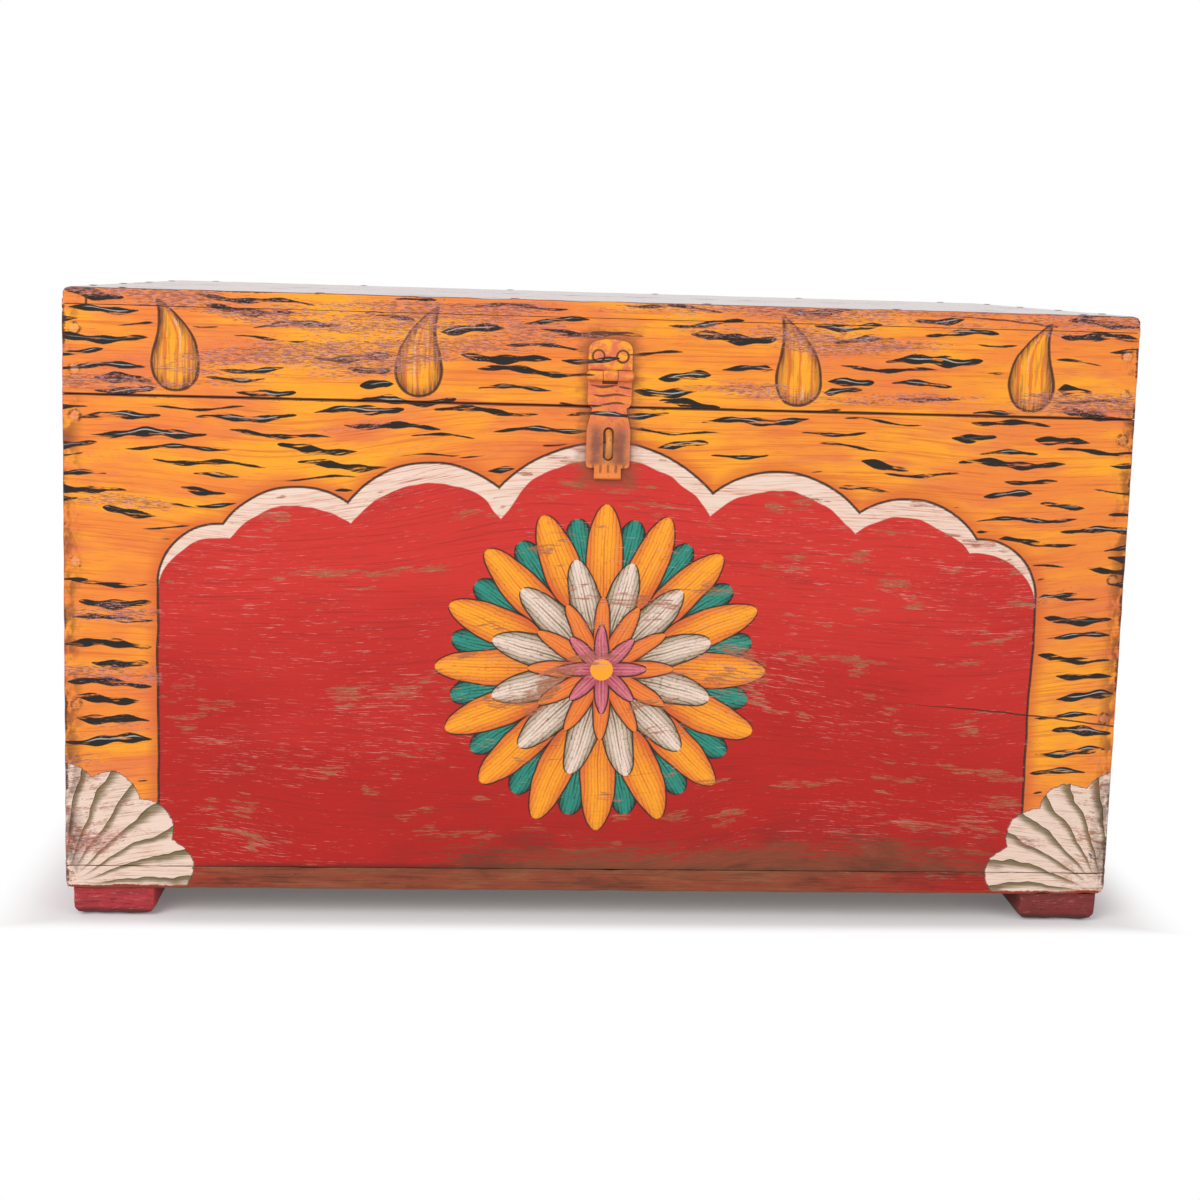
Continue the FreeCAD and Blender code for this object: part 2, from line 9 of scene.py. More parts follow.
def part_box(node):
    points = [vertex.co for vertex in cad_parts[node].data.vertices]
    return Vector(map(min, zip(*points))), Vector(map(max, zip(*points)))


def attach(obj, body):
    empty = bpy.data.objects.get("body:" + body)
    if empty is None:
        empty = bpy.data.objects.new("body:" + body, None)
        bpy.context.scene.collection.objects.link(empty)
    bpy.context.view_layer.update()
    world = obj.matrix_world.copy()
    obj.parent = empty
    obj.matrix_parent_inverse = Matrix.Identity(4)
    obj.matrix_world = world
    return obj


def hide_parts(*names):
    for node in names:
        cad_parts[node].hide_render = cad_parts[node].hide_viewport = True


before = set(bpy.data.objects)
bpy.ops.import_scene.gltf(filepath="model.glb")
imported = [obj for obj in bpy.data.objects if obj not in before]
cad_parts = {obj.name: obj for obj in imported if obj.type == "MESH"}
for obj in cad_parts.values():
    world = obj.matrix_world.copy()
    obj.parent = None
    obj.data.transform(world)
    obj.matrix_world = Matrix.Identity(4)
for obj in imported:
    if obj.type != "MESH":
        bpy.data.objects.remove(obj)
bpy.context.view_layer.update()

# The dressed trunk: worn boards in place of the plain ones, painted ironwork, and a studio stage.
# Shapes are in metres. Paint is laid out in millimetres of the trunk's own frame.

MM = 0.001

# Boxes of the boards at the front
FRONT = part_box("front_board")
LID_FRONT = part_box("lid_front_rail")
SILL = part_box("bottom_front_plank")
LID_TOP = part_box("lid_top_front_plank")

# Places that the paint follows, in millimetres
HALF_WIDTH = FRONT[1][0] / MM
SILL_Z = SILL[0][2] / MM
WALL_Z = FRONT[0][2] / MM
RIM_Z = FRONT[1][2] / MM
LID_Z = LID_FRONT[0][2] / MM
TOP_Z = LID_TOP[1][2] / MM
FRONT_Y = FRONT[0][1] / MM
BACK_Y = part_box("back_board")[1][1] / MM
MIDDLE_Y = (FRONT_Y + BACK_Y) / 2
HALF_DEPTH = (BACK_Y - FRONT_Y) / 2
HASP_LOW_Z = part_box("hasp_flap")[0][2] / MM
HASP_HIGH_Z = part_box("hasp_plate")[1][2] / MM
HASP_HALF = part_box("hasp_plate")[1][0] / MM
HASP_PIN_Z = (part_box("hasp_pin")[0][2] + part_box("hasp_pin")[1][2]) / 2 / MM

# Radius of a small nail's head, in millimetres
NAIL_HEAD = 3.8


def linear(red, green, blue):
    """A colour given in the 0 to 255 steps of a screen, as the shader wants it."""
    steps = [value / 255 for value in (red, green, blue)]
    return tuple(v / 12.92 if v <= 0.04045 else ((v + 0.055) / 1.055) ** 2.4 for v in steps) + (1.0,)


ORANGE = linear(238, 134, 56)
YELLOW = linear(252, 166, 40)
DEEP_ORANGE = linear(210, 96, 46)
CORAL = linear(222, 112, 78)
INK = linear(30, 26, 23)
# The pale painted highlight on the dashes
INK_SHINE = linear(178, 179, 178)
RED = linear(178, 38, 34)
BRIGHT_RED = linear(195, 44, 39)
DARK_RED = linear(138, 34, 32)
LOW_RED = linear(181, 31, 25)
HIGH_RED = linear(206, 50, 43)
CREAM = linear(230, 194, 172)
PALE = linear(238, 214, 198)
PINK_SCUFF = linear(214, 140, 130)
LILAC_SCUFF = linear(186, 132, 140)
BROWN = linear(134, 78, 50)
TAN = linear(158, 98, 66)
UMBER = linear(62, 32, 24)
OLIVE = linear(112, 98, 62)
TEAL = linear(46, 142, 124)
PINK = linear(214, 122, 134)
ROSE = linear(160, 58, 78)
FOOT_RED = linear(178, 52, 60)
FOOT_BROWN = linear(124, 46, 44)
TOP_RED = linear(146, 62, 50)
TOP_BROWN = linear(108, 54, 43)
TEAK = linear(150, 98, 60)
TEAK_DARK = linear(104, 62, 38)
IRON = linear(70, 62, 56)
DARK_IRON = linear(44, 38, 35)
RUST = linear(112, 62, 38)
HASP_BROWN = linear(206, 126, 74)
HASP_MAUVE = linear(142, 82, 66)
OCHRE = linear(214, 138, 48)
FLOOR_WHITE = linear(246, 246, 246)


# Shader arithmetic


def connect(value, socket):
    """Sets a socket from a field or from a plain value."""
    if isinstance(value, Field):
        value.tree.links.new(value.socket, socket)
    else:
        socket.default_value = value


def add_node(tree, kind, inputs, **settings):
    """Adds a shader node. Its inputs go by name or number and take fields or plain values."""
    node = tree.nodes.new("ShaderNode" + kind)
    for name, value in settings.items():
        setattr(node, name, value)
    for name, value in inputs.items():
        connect(value, node.inputs[name])
    return node


def calc(tree, operation, *values):
    """The field that shader arithmetic makes of fields and plain numbers."""
    return Field(add_node(tree, "Math", dict(enumerate(values)), operation=operation).outputs[0])


def arithmetic(operation):
    """A method for one kind of shader arithmetic."""
    return lambda field, *others: calc(field.tree, operation, field, *others)


class Field:
    """A number that varies over a surface. Arithmetic on it adds shader nodes."""

    __add__ = arithmetic("ADD")
    __sub__ = arithmetic("SUBTRACT")
    __mul__ = arithmetic("MULTIPLY")
    __truediv__ = arithmetic("DIVIDE")
    __pow__ = arithmetic("POWER")
    __abs__ = arithmetic("ABSOLUTE")
    floor = arithmetic("FLOOR")
    fract = arithmetic("FRACT")
    sin = arithmetic("SINE")
    sign = arithmetic("SIGN")
    root = arithmetic("SQRT")
    least = arithmetic("MINIMUM")
    most = arithmetic("MAXIMUM")
    arctan2 = arithmetic("ARCTAN2")

    def __init__(self, socket):
        self.tree = socket.id_data
        self.socket = socket

    def __rsub__(self, other):
        return calc(self.tree, "SUBTRACT", other, self)

    def step(self, low, high):
        """0 at low, 1 at high, smooth between; low may be the larger."""
        inputs = {"Value": self, "From Min": low, "From Max": high}
        node = add_node(self.tree, "MapRange", inputs, interpolation_type="SMOOTHSTEP")
        return Field(node.outputs["Result"])


def distance(a, b):
    """How far a place is from a middle, by two steps at right angles."""
    return (a * a + b * b).root()


class Surface:
    """One material under construction, with the trunk's own coordinates in millimetres."""

    def __init__(self, name):
        self.material = bpy.data.materials.new(name)
        self.material.use_nodes = True
        self.tree = self.material.node_tree
        self.shader = self.tree.nodes["Principled BSDF"]
        self.colour = None
        coordinates = add_node(self.tree, "TexCoord", {})
        metres = Field(coordinates.outputs["Object"])
        scaled = add_node(self.tree, "VectorMath", {0: metres, "Scale": 1 / MM}, operation="SCALE")
        self.place = Field(scaled.outputs[0])
        self.facing = Field(coordinates.outputs["Normal"])
        self.x, self.y, self.z = self.parts(self.place)

    def parts(self, vector):
        """The three numbers of a vector."""
        return [Field(socket) for socket in add_node(self.tree, "SeparateXYZ", {0: vector}).outputs]

    def vector(self, x, y, z):
        """A vector of three numbers."""
        return Field(add_node(self.tree, "CombineXYZ", {0: x, 1: y, 2: z}).outputs[0])

    def bend(self, rise):
        """Makes the grain of later noise wander up and down, as the figure of a wide board does."""
        sway = self.waver(rise, (340, 200, 150), 1, 0.5, 5)
        self.place = self.vector(self.x, self.y, self.z + sway)

    def backward(self):
        """1 on surfaces that face the back of the trunk, 0 on those that face its front."""
        return self.parts(self.facing)[1].step(0.2, 0.6)

    def noise(self, sizes, detail=2, roughness=0.5, seed=0):
        """Soft noise, 0 to 1. Its lumps have one size, or one for each axis, in millimetres."""
        if not isinstance(sizes, tuple):
            sizes = (sizes, sizes, sizes)
        start = (seed, seed * 0.37, seed * 0.71)
        inputs = {0: self.place, 1: [1 / size for size in sizes], 2: start}
        place = Field(add_node(self.tree, "VectorMath", inputs, operation="MULTIPLY_ADD").outputs[0])
        inputs = {"Vector": place, "Scale": 1, "Detail": detail, "Roughness": roughness}
        return Field(add_node(self.tree, "TexNoise", inputs).outputs[0])

    def waver(self, reach, sizes, detail=2, roughness=0.5, seed=0):
        """Soft noise about 0, from half the reach below it to half above."""
        return (self.noise(sizes, detail, roughness, seed) - 0.5) * reach

    def chance(self, a, b, seed):
        """Three random numbers, 0 to 1, for each whole pair of a and b."""
        node = add_node(self.tree, "TexWhiteNoise", {"Vector": self.vector(a, b, seed)})
        split = add_node(self.tree, "SeparateColor", {0: Field(node.outputs["Color"])})
        return [Field(socket) for socket in split.outputs]

    def blend(self, factor, under, over):
        """Colour over laid on colour under where factor is 1."""
        # The colours of this node share their names with other sockets, so they go by number
        node = add_node(self.tree, "Mix", {0: factor, 6: under, 7: over}, data_type="RGBA")
        return Field(node.outputs[2])

    def lay(self, factor, over):
        """Lays one more colour on the surface where factor is 1."""
        self.colour = self.blend(factor, self.colour, over)

    def finish(self, roughness, height, strength=0.5, specular=0.35, metallic=0):
        """Joins the colour, roughness and relief, in millimetres, to the shader."""
        relief = {"Strength": strength, "Distance": MM, "Height": height}
        inputs = {
            "Base Color": self.colour,
            "Roughness": roughness,
            "Specular IOR Level": specular,
            "Metallic": metallic,
            "Normal": Field(add_node(self.tree, "Bump", relief).outputs[0]),
        }
        for name, value in inputs.items():
            connect(value, self.shader.inputs[name])
        return self.material


# Paint

# Brush dashes: the height of a row, of a row beside the field, and the length of a dash's cell
ROW_HEIGHT = 19
BORDER_ROW = 29
CELL_LENGTH = 98

# Half the thickness of the finest dash, and how much more the heaviest one has
LID_DASH = (0.9, 3.3)
BOX_DASH = (0.85, 2.6)
BORDER_EXTRA = 0.55

# A turn in radians, for the phase of a wave
TURN = 6.28


def dash_grid(s, layer, border):
    """Rows of cells that hold one dash each, shifted from row to row and by half a row in layer 1.

    Returns the row, the cell, the place up and along from the cell's middle, and its length.
    """
    tall = ROW_HEIGHT
    size = CELL_LENGTH
    wide = HALF_WIDTH - FIELD_HALF
    if border is not None:
        tall = border * (BORDER_ROW - ROW_HEIGHT) + ROW_HEIGHT
        size = border * (wide - CELL_LENGTH) + CELL_LENGTH
    rows = (s.z + tall * (layer / 2)) / tall
    row = rows.floor()
    cells = s.x / CELL_LENGTH + s.chance(row, layer, 3.7)[0] * 5
    if border is not None:
        beside = (s.x - s.x.sign() * FIELD_HALF) / wide
        cells = cells + border * (beside - cells)
    cell = cells.floor()
    return row, cell, (rows - row - 0.5) * tall, (cells - cell - 0.5) * size, size


def dash_layer(s, layer, room, ragged, border):
    """One layer of dashes, each bent, swelling and tapered in its own way. Returns ink and a pale
    painted highlight.
    """
    row, cell, across, along, size = dash_grid(s, layer, border)
    length, place, weight = s.chance(cell, row, layer + 0.31)
    phase, drift, lean = s.chance(cell, row, layer + 7.13)
    thin, more = LID_DASH if border is None else BOX_DASH
    span = length * 0.28 + 0.16
    heavy = weight * more + thin
    if border is not None:
        span = span + border * (0.13 - length * 0.1)
        heavy = (heavy + border * BORDER_EXTRA) * (1 - border * phase.step(0.08, 0.06))
    half = span * size
    reach = (along - (place - 0.5) * (size - half * 2) * 0.9) / half
    swell = (1 - reach * reach).most(0) ** 0.62
    lumps = (along * 0.27 + drift * TURN).sin() * 0.24 + 0.84
    tilt = (lean - 0.5) * reach
    thick = heavy * swell * lumps * room * (tilt * 0.7 + 1)
    middle = (along * 0.1 + phase * TURN).sin() * 1.3 + (drift - 0.5) * 5 + tilt * 4
    offset = across - middle
    edge = abs(offset) - thick + ragged * 0.7
    ink = edge.step(0.3, -0.3) * thick.step(0.15, 0.45)
    # The shine is a pale painted highlight along one side of a heavy dash
    wander = (along * 0.21 + lean * 20).sin() * 0.22 + 0.22
    shine = (abs(offset - thick * wander + ragged * 0.5) - thick * 0.11).step(0.18, -0.12)
    shine = shine * thick.step(1.2, 1.8) * lean.step(0.38, 0.55)
    return ink, shine * abs(reach - 0.1).step(0.72, 0.45)


def lay_dashes(s, room, border=None):
    """Paints brush dashes with a pale painted highlight along them, as of gloss, rubbed thin here and
    there.

    They thin out where room is under 1. Where border is 1, one dash to a row fits between the
    field and the end of the board.
    """
    ragged = s.waver(1.1, (2.5, 9, 1.2), 3, 0.7)
    ink, shine = dash_layer(s, 0, room, ragged, border)
    more_ink, more_shine = dash_layer(s, 1, room, ragged, border)
    rub = s.noise((26, 20, 3), 3, 0.7, 71).step(0.66, 0.55)
    s.lay(ink.most(more_ink) * rub, INK)
    # A pale painted highlight along the dashes
    s.lay(shine.most(more_shine) * rub * 0.85, INK_SHINE)


def orange_ground(s):
    """Hand-brushed orange with yellow patches, streaked along the grain."""
    patches = s.noise((130, 60, 36), 3, 0.55, 4).step(0.4, 0.64)
    streaks = s.noise((80, 30, 1.8), 3, 0.65, 9)
    fibres = s.noise((14, 14, 0.7), 3, 0.7, 15)
    s.colour = s.blend(patches, ORANGE, YELLOW)
    warm = s.noise((64, 30, 15), 3, 0.6, 66).step(0.5, 0.68)
    s.lay(warm * 0.5, CORAL)
    s.lay(streaks.step(0.48, 0.7) * 0.6, DEEP_ORANGE)
    s.lay(fibres.step(0.55, 0.75) * 0.4, BROWN)


def scuffs(s, amount, spread):
    """Rubbed patches where pale primer and brown wood show through the paint in fine speckles."""
    where = s.noise((170, 60, 22), 3, 0.55, 21).step(0.46 - spread, 0.72 - spread)
    speckle = s.noise((3.6, 4.5, 0.8), 4, 0.8, 2)
    pale = (where * 0.26 + speckle - 0.74).step(0, 0.05) * amount
    tint = s.noise((14, 14, 3), 2, 0.6, 33).step(0.42, 0.58)
    s.lay(pale * 0.85, s.blend(tint, PINK_SCUFF, LILAC_SCUFF))
    grit = s.noise((6, 4.5, 0.8), 4, 0.8, 57)
    brown = (where * 0.3 + grit - 0.76).step(0, 0.08) * amount
    s.lay(brown * 0.75, BROWN)
    return pale.most(brown)


def nibbled(s, near):
    """Broken wear along an edge: near is 1 at the edge and 0 a few millimetres in."""
    rough = s.noise((5, 5, 3), 3, 0.75, 41)
    patches = s.noise((48, 48, 30), seed=68).step(0.44, 0.6)
    return (near * 0.7 + rough * 0.8 + patches * 0.26 - 1.16).step(0, 0.16)


def arris_wear(s, low, high, low_reach, high_reach, soiled=0):
    """Dark rubbed wood along the outer edges of a front piece, a few millimetres wide.

    Smudges lie at its two ends, more of them where it is soiled.
    """
    inset = HALF_WIDTH - abs(s.x)
    upper = (high - s.z).step(high_reach, 0.2)
    lower = (s.z - low).step(low_reach, 0.2)
    near = inset.step(7, 1.2).most(upper).most(lower)
    smudge = s.noise((14, 14, 20), 3, 0.65, 86).step(0.52 - soiled, 0.68 - soiled)
    return nibbled(s, near).most(smudge * inset.step(17, 3) * 0.7)


def nail_rims(s, node, count):
    """Dirt round the nail heads of a front piece, which stand in one even row near each end."""
    low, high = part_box(node)
    first = low[2] / MM + NAIL_HEAD
    last = high[2] / MM - NAIL_HEAD
    spacing = (last - first) / (count - 1)
    across = abs(s.x) - (high[0] / MM - NAIL_HEAD)
    rise = ((s.z - first) / spacing + 0.5).fract() * spacing - spacing / 2
    inside = (s.z - first + NAIL_HEAD * 2).step(0, 0.1) * (last + spacing - s.z).step(0, 0.1)
    uneven = s.waver(1.6, 3, seed=88)
    radius = distance(across, rise) + uneven
    broken = s.noise(3.4, 3, 0.7, 99).step(0.47, 0.6)
    rim = (abs(radius - NAIL_HEAD) - 0.9).step(0.8, -0.5) * inside * broken
    s.lay(rim * 0.75, UMBER)
    worn = radius.step(NAIL_HEAD, NAIL_HEAD - 1.4) * inside * (1 - broken)
    s.lay(worn * 0.16, PALE)


def hasp_dirt_and_shade(s):
    """Brown dirt on the boards round the hasp, and painted shade behind it, where the board shows
    through the slot.
    """
    aside = abs(s.x) - HASP_HALF
    beyond = (s.z - HASP_HIGH_Z).most(HASP_LOW_Z - s.z)
    ragged = s.waver(20, (12, 12, 7), 4, 0.7, 52)
    away = aside.most(beyond) + ragged
    s.lay(away.step(11, -1) * 0.65, BROWN)
    # Painted shade on the board behind the hasp
    s.lay(away.step(0, -9) * 0.45, UMBER)


def split(s, start, stop, height, sag):
    """A dark crack along the grain from one place to another, bowed by a sag."""
    along = (s.x - start) / (stop - start)
    wander = s.waver(2.4, 18, 3, 0.6, 93)
    line = height - along.most(0) ** 1.4 * sag + wander
    width = along.step(0, 0.5) * along.step(1.2, 1) * 0.55
    crack = (abs(s.z - line) - width).step(0.25, -0.15)
    crack = crack * along.step(0, 0.05) * along.step(1.02, 1)
    s.lay(crack * 0.9, UMBER)


def joint_line(s, wear):
    """Adds the dark crack between the box and the lid to the wear at their edges."""
    ragged = s.noise(30, 3, 0.6, 58) * 0.9
    gap = abs(s.z - (RIM_Z + LID_Z) / 2) - ragged
    return wear.most(gap.step(0.9, 0.4))


def front_finish(s, wear, scuffed=1, spread=0):
    """Lays scuffs, open grain and dark edge wear over the paint of a front piece, then shades it."""
    bare = scuffs(s, scuffed, spread)
    pores = s.noise((70, 30, 0.9), 3, 0.65, 14)
    s.lay(pores.step(0.63, 0.74) * 0.4, UMBER)
    s.lay(wear * 0.88, UMBER)
    relief = s.noise((60, 20, 1.6), 3, 0.6, 5) * 0.25 - pores * 0.2
    return s.finish(bare * 0.2 + 0.44, relief, specular=0.25)


# The lid's front: how far its scuffs spread, the let-in patch at its left end, and a split that runs
# from one place along the trunk to another, starts at a height and sags
LID_SCUFFS = 0.06
PATCH_LENGTH = 17
LID_SPLIT = (226, 318, TOP_Z - 3, 6)

# How far dark wear reaches in from the lower and the upper edge of the lid, the box and the sill,
# and how much more the ends of the box are soiled
LID_RUBS = (2.6, 3.2)
BOX_RUBS = (0.9, 3.2)
SILL_RUBS = (1.4, 0.9)
BOX_SOIL = 0.09

# The paisleys: a pair stands on each half of the lid, spread evenly about the pair's middle
PAIR_MIDDLE = 218
PAIR_SPREAD = 84
PAISLEY_Z = (LID_Z + TOP_Z) / 2 - 2
PAISLEY_TALL = 31
PAISLEY_WIDE = 14
PAISLEY_LEAN = 12


def lid_ground(s):
    """The lid's orange ground with its paisleys and brush dashes."""
    orange_ground(s)
    lay_dashes(s, paisleys(s))


def lid_front_paint():
    """The lid's front rail, dirty round the nails and the hasp, and in painted shade behind the hasp.
    Its nails at the back are red.
    """
    s = Surface("lid_front_paint")
    lid_ground(s)
    hasp_dirt_and_shade(s)
    nail_rims(s, "lid_corner_nails", 2)
    s.lay(s.y.step(0, 1), RED)
    wear = joint_line(s, arris_wear(s, LID_Z, TOP_Z, *LID_RUBS))
    return front_finish(s, wear, 1, LID_SCUFFS)


def lid_edge_paint():
    """The edge of the lid's top board, painted like the rail below it, with a patch and a split."""
    s = Surface("lid_edge_paint")
    lid_ground(s)
    ragged = s.waver(4, (5, 5, 3), seed=64)
    patch = abs(s.x + HALF_WIDTH - PATCH_LENGTH) + ragged
    s.lay((patch - 0.5).step(0.4, -0.3) * 0.85, UMBER)
    split(s, *LID_SPLIT)
    return front_finish(s, arris_wear(s, LID_Z, TOP_Z, *LID_RUBS), 1, LID_SCUFFS)


def paisleys(s):
    """Four leaning paisleys, mirrored about the lid's middle. Returns the room left for dashes."""
    wobble = s.waver(3, 22, seed=19)
    rise = (s.z - PAISLEY_Z) / PAISLEY_TALL
    lean = rise.most(0) ** 2 * PAISLEY_LEAN
    aside = abs(abs(s.x) - PAIR_MIDDLE) - PAIR_SPREAD + wobble - lean
    wide = (1 - rise * 0.62).most(0.3) * PAISLEY_WIDE
    share = aside / wide
    size = distance(share, rise)
    slope = distance(share / wide, rise / PAISLEY_TALL) + 0.001
    outside = (size - 1) * size / slope
    inside = outside.step(0.4, -0.4)
    brush = s.noise((1.8, 9, 26), 4, 0.7, 45)
    shade = outside.step(-9, 0) * 0.8 + brush.step(0.4, 0.72) * 0.8 - 0.15
    paint = s.blend(shade.least(1).most(0), YELLOW, BROWN)
    veins = (aside * 0.75 + brush * 5).sin().step(0.5, 0.95) * outside.step(-1.5, -4)
    paint = s.blend(veins * 0.7, paint, DEEP_ORANGE)
    # A pale painted highlight down the inside of each paisley
    gleam = (abs(aside + 3) - 0.5 - brush).step(0.3, -0.3) * brush.step(0.5, 0.6)
    paint = s.blend(gleam * outside.step(-2.5, -4.5) * 0.6, paint, PALE)
    s.lay(inside, paint)
    line = (abs(outside) - 0.4 - brush).step(0.35, -0.35)
    s.lay(line * 0.9, UMBER)
    return outside.step(1.5, 9)


# Front panel

# Half the width of the red field, and the height at which its foils start
FIELD_HALF = 314
FIELD_SPRING = 246

# Foils of the field's upper edge, mirrored about the middle: place, height and radius
FOILS = (
    (0, 252, 100),
    (124, 258, 76),
    (216, 252, 64),
    (272, FIELD_SPRING, 42),
)

# The cream band inside them grows to its full width between these heights
BAND_LOW = 236
BAND_HIGH = 300

# The lotus: the height of its middle, its radius and that of its heart
LOTUS_HEIGHT = 188
LOTUS_RADIUS = 120
HEART_RADIUS = 7.8

# Rings of petals: how many, their turn in petals, their start and stop in parts of the radius,
# light and dark colour, and the power that tapers their tips
LOTUS_RINGS = (
    (16, 0.5, 0.4, 0.92, TEAL, INK, 0.45),
    (16, 0, 0.4, 1, YELLOW, DEEP_ORANGE, 0.5),
    (12, 0.5, 0.22, 0.68, PALE, OLIVE, 0.5),
    (12, 0, 0.08, 0.44, ORANGE, DEEP_ORANGE, 0.5),
    (8, 0, 0.03, 0.27, PINK, ROSE, 0.55),
)

# Fans in the lower corners, and the split in the board
FAN_RADIUS = 84
FAN_RIBS = 7
BOARD_SPLIT = (205, HALF_WIDTH, 166, 15)

# The brown stain at the foot of the field: its middle and half width along the trunk, and its top.
# The one on the edge of the bottom board below has its own middle and half width
STAIN_MIDDLE = 100
STAIN_HALF = 260
STAIN_TOP = 78
SILL_MIDDLE = -40
SILL_HALF = 325


def arch_distance(s):
    """Distance outside the red field, a wide panel under a row of round foils."""
    across = abs(s.x)
    inside = (across - FIELD_HALF).most(s.z - FIELD_SPRING)
    for place, height, radius in FOILS:
        inside = inside.least(distance(across - place, s.z - height) - radius)
    return inside + s.waver(5, 70, seed=73)


def red_field(s):
    """Red paint, brushed on unevenly, deeper in colour and darker towards the foot; the darkening is
    painted shade of light that falls from above.
    """
    uneven = s.waver(220, (160, 60, 60), seed=81)
    # Darker towards the foot: painted shade, with a deeper red
    colour = s.blend((s.z + uneven).step(100, 290), LOW_RED, HIGH_RED)
    cloud = s.noise((110, 60, 70), 2, 0.6, 17).step(0.54, 0.74)
    colour = s.blend(cloud * 0.18, colour, DARK_RED)
    fibres = s.noise((60, 20, 1.3), 3, 0.7, 53)
    return s.blend(fibres.step(0.5, 0.7) * 0.5, colour, DARK_RED)


def fine_grain(s):
    """Fine noise along the grain, which breaks up the wear of the red field."""
    return s.noise((20, 9, 1.3), 4, 0.78, 29)


def field_wear(s):
    """Wear along the grain, to pale streaks and to speckled brown wood, and a dark joint with painted
    shade along the seam above the bottom board.
    """
    zones = s.noise((190, 60, 60), seed=26).step(0.32, 0.66)
    rubbed = s.noise((44, 20, 12), 3, 0.6, 62).step(0.52, 0.64)
    streak = s.noise((16, 20, 0.8), 4, 0.72, 38)
    pale = (streak + zones * 0.09 + rubbed * 0.05 - 0.68).step(0, 0.05)
    s.lay(pale * 0.7, PINK_SCUFF)
    fine = fine_grain(s)
    grit = s.noise((5, 9, 1), 3, 0.8, 74)
    worn = (rubbed * 0.38 + fine - 0.81).step(0, 0.12) * grit.step(0.3, 0.48)
    s.lay(worn * 0.85, TAN)
    s.lay(worn * grit.step(0.56, 0.66) * 0.6, PINK_SCUFF)
    # A soft dark band along the seam above the bottom board: dark joint and painted shade
    seam = abs(s.z - WALL_Z) + (rubbed - 0.5) * 1.6
    s.lay(seam.step(4, 0.2) * abs(s.x).step(330, 230) * 0.6, UMBER)


def foot_stain(s):
    """Brown wood and dirt along the foot of the field, strongest right of the middle."""
    middle = (s.x - STAIN_MIDDLE) / STAIN_HALF
    ragged = s.noise((60, 20, 60), seed=7) * 40
    foot = (1 - middle * middle).most(0) ** 0.5 * (s.z - ragged).step(STAIN_TOP, 4)
    fine = fine_grain(s)
    brown = (foot * 0.66 + fine - 0.8).step(0, 0.16)
    s.lay(brown * 0.8, BROWN)
    soiled = s.noise((60, 20, 34), 3, 0.6, 48).step(0.46, 0.66)
    dirt = fine.step(0.42, 0.66) * 0.35 + soiled * 0.5 + 0.12
    s.lay(foot * dirt, UMBER)


def petals(s, radius, angle, brush, ring):
    """One ring of outlined petals, veined and shaded towards their edges and roots."""
    count, turn, start, stop, light, dark, taper = ring
    sector = angle * (count / math.tau) + turn
    aside = abs((sector + 0.5).fract() - 0.5) * radius * (math.tau / count)
    along = (radius - start * LOTUS_RADIUS) / ((stop - start) * LOTUS_RADIUS)
    full = math.pi * (start + 0.4 * (stop - start)) * LOTUS_RADIUS / count
    width = (1 - along).most(0) ** taper * (along.most(0) ** 0.35) * (full * 1.6)
    edge = aside - width
    present = along.step(0, 0.02) * along.step(1, 0.985)
    shade = (aside / (width + 0.5)).step(0.2, 1) * 0.7 + along.step(0.6, 0) * 0.5
    vein = (aside - 0.3).step(0.5, 0) * along.step(0.9, 0.6)
    hairs = (aside * 2.4 + brush * 5).sin().step(0.3, 0.95) * 0.4
    depth = shade + brush.step(0.5, 0.8) * 0.5 + vein * 0.6 + hairs
    paint = s.blend(depth.least(1), light, dark)
    s.lay(edge.step(0.35, -0.35) * present, paint)
    outline = (abs(edge) - 0.6).step(0.35, -0.35) * present
    s.lay(outline * 0.92, INK)


def medallion(s):
    """A round lotus: pointed orange petals with green leaves between, cream petals, a rose heart."""
    east = s.x + s.waver(6, 45, seed=31)
    north = s.z - LOTUS_HEIGHT + s.waver(6, 45, seed=77)
    radius = distance(east, north)
    angle = east.arctan2(north)
    brush = s.noise((3, 20, 3), 3, 0.7, 23)
    for ring in LOTUS_RINGS:
        petals(s, radius, angle, brush, ring)
    s.lay(radius.step(HEART_RADIUS + 0.4, HEART_RADIUS - 0.4), YELLOW)


def corner_fans(s):
    """Cream quarter fans with olive ribs, in the lower corners. Returns the room left for dashes."""
    east = HALF_WIDTH - abs(s.x)
    north = s.z - SILL_Z
    wobble = s.waver(6, 30, seed=36)
    radius = distance(east, north) + wobble
    angle = north.arctan2(east)
    lobes = abs((angle * FAN_RIBS).sin())
    ragged = s.waver(4, (5, 5, 3), 3, 0.7, 28)
    edge = radius - (lobes * 9 + FAN_RADIUS) + ragged
    inside = edge.step(0.5, -0.5) * (north + wobble * 0.4 + ragged).step(2.2, 3.2)
    sway = s.waver(0.7, 26, seed=83)
    rib = (angle * (2 * FAN_RIBS / math.pi) + radius * 0.006 + sway).fract()
    fibres = s.noise((30, 20, 0.9), 4, 0.7, 44)
    shade = (rib.step(0.42, 1) + fibres - 0.5).step(0.15, 1) * radius.step(10, 34) * 0.95
    paint = s.blend(fibres.step(0.42, 0.62) * 0.8, PALE, CREAM)
    paint = s.blend(shade.most(fibres.step(0.54, 0.68) * 0.6), paint, OLIVE)
    line = (rib - 0.95).step(0, 0.03) * radius.step(12, 30) * fibres.step(0.34, 0.44)
    paint = s.blend(line * 0.7, paint, UMBER)
    chips = s.noise((12, 12, 4), 4, 0.75, 24).step(0.53, 0.6) * east.step(52, 6)
    paint = s.blend(chips * 0.8, paint, TAN)
    s.lay(inside, paint)
    rim = (abs(edge) - 0.5).step(0.3, -0.3) * inside.step(0, 0.3)
    s.lay(rim * 0.7, UMBER)
    return edge.step(1, 10)


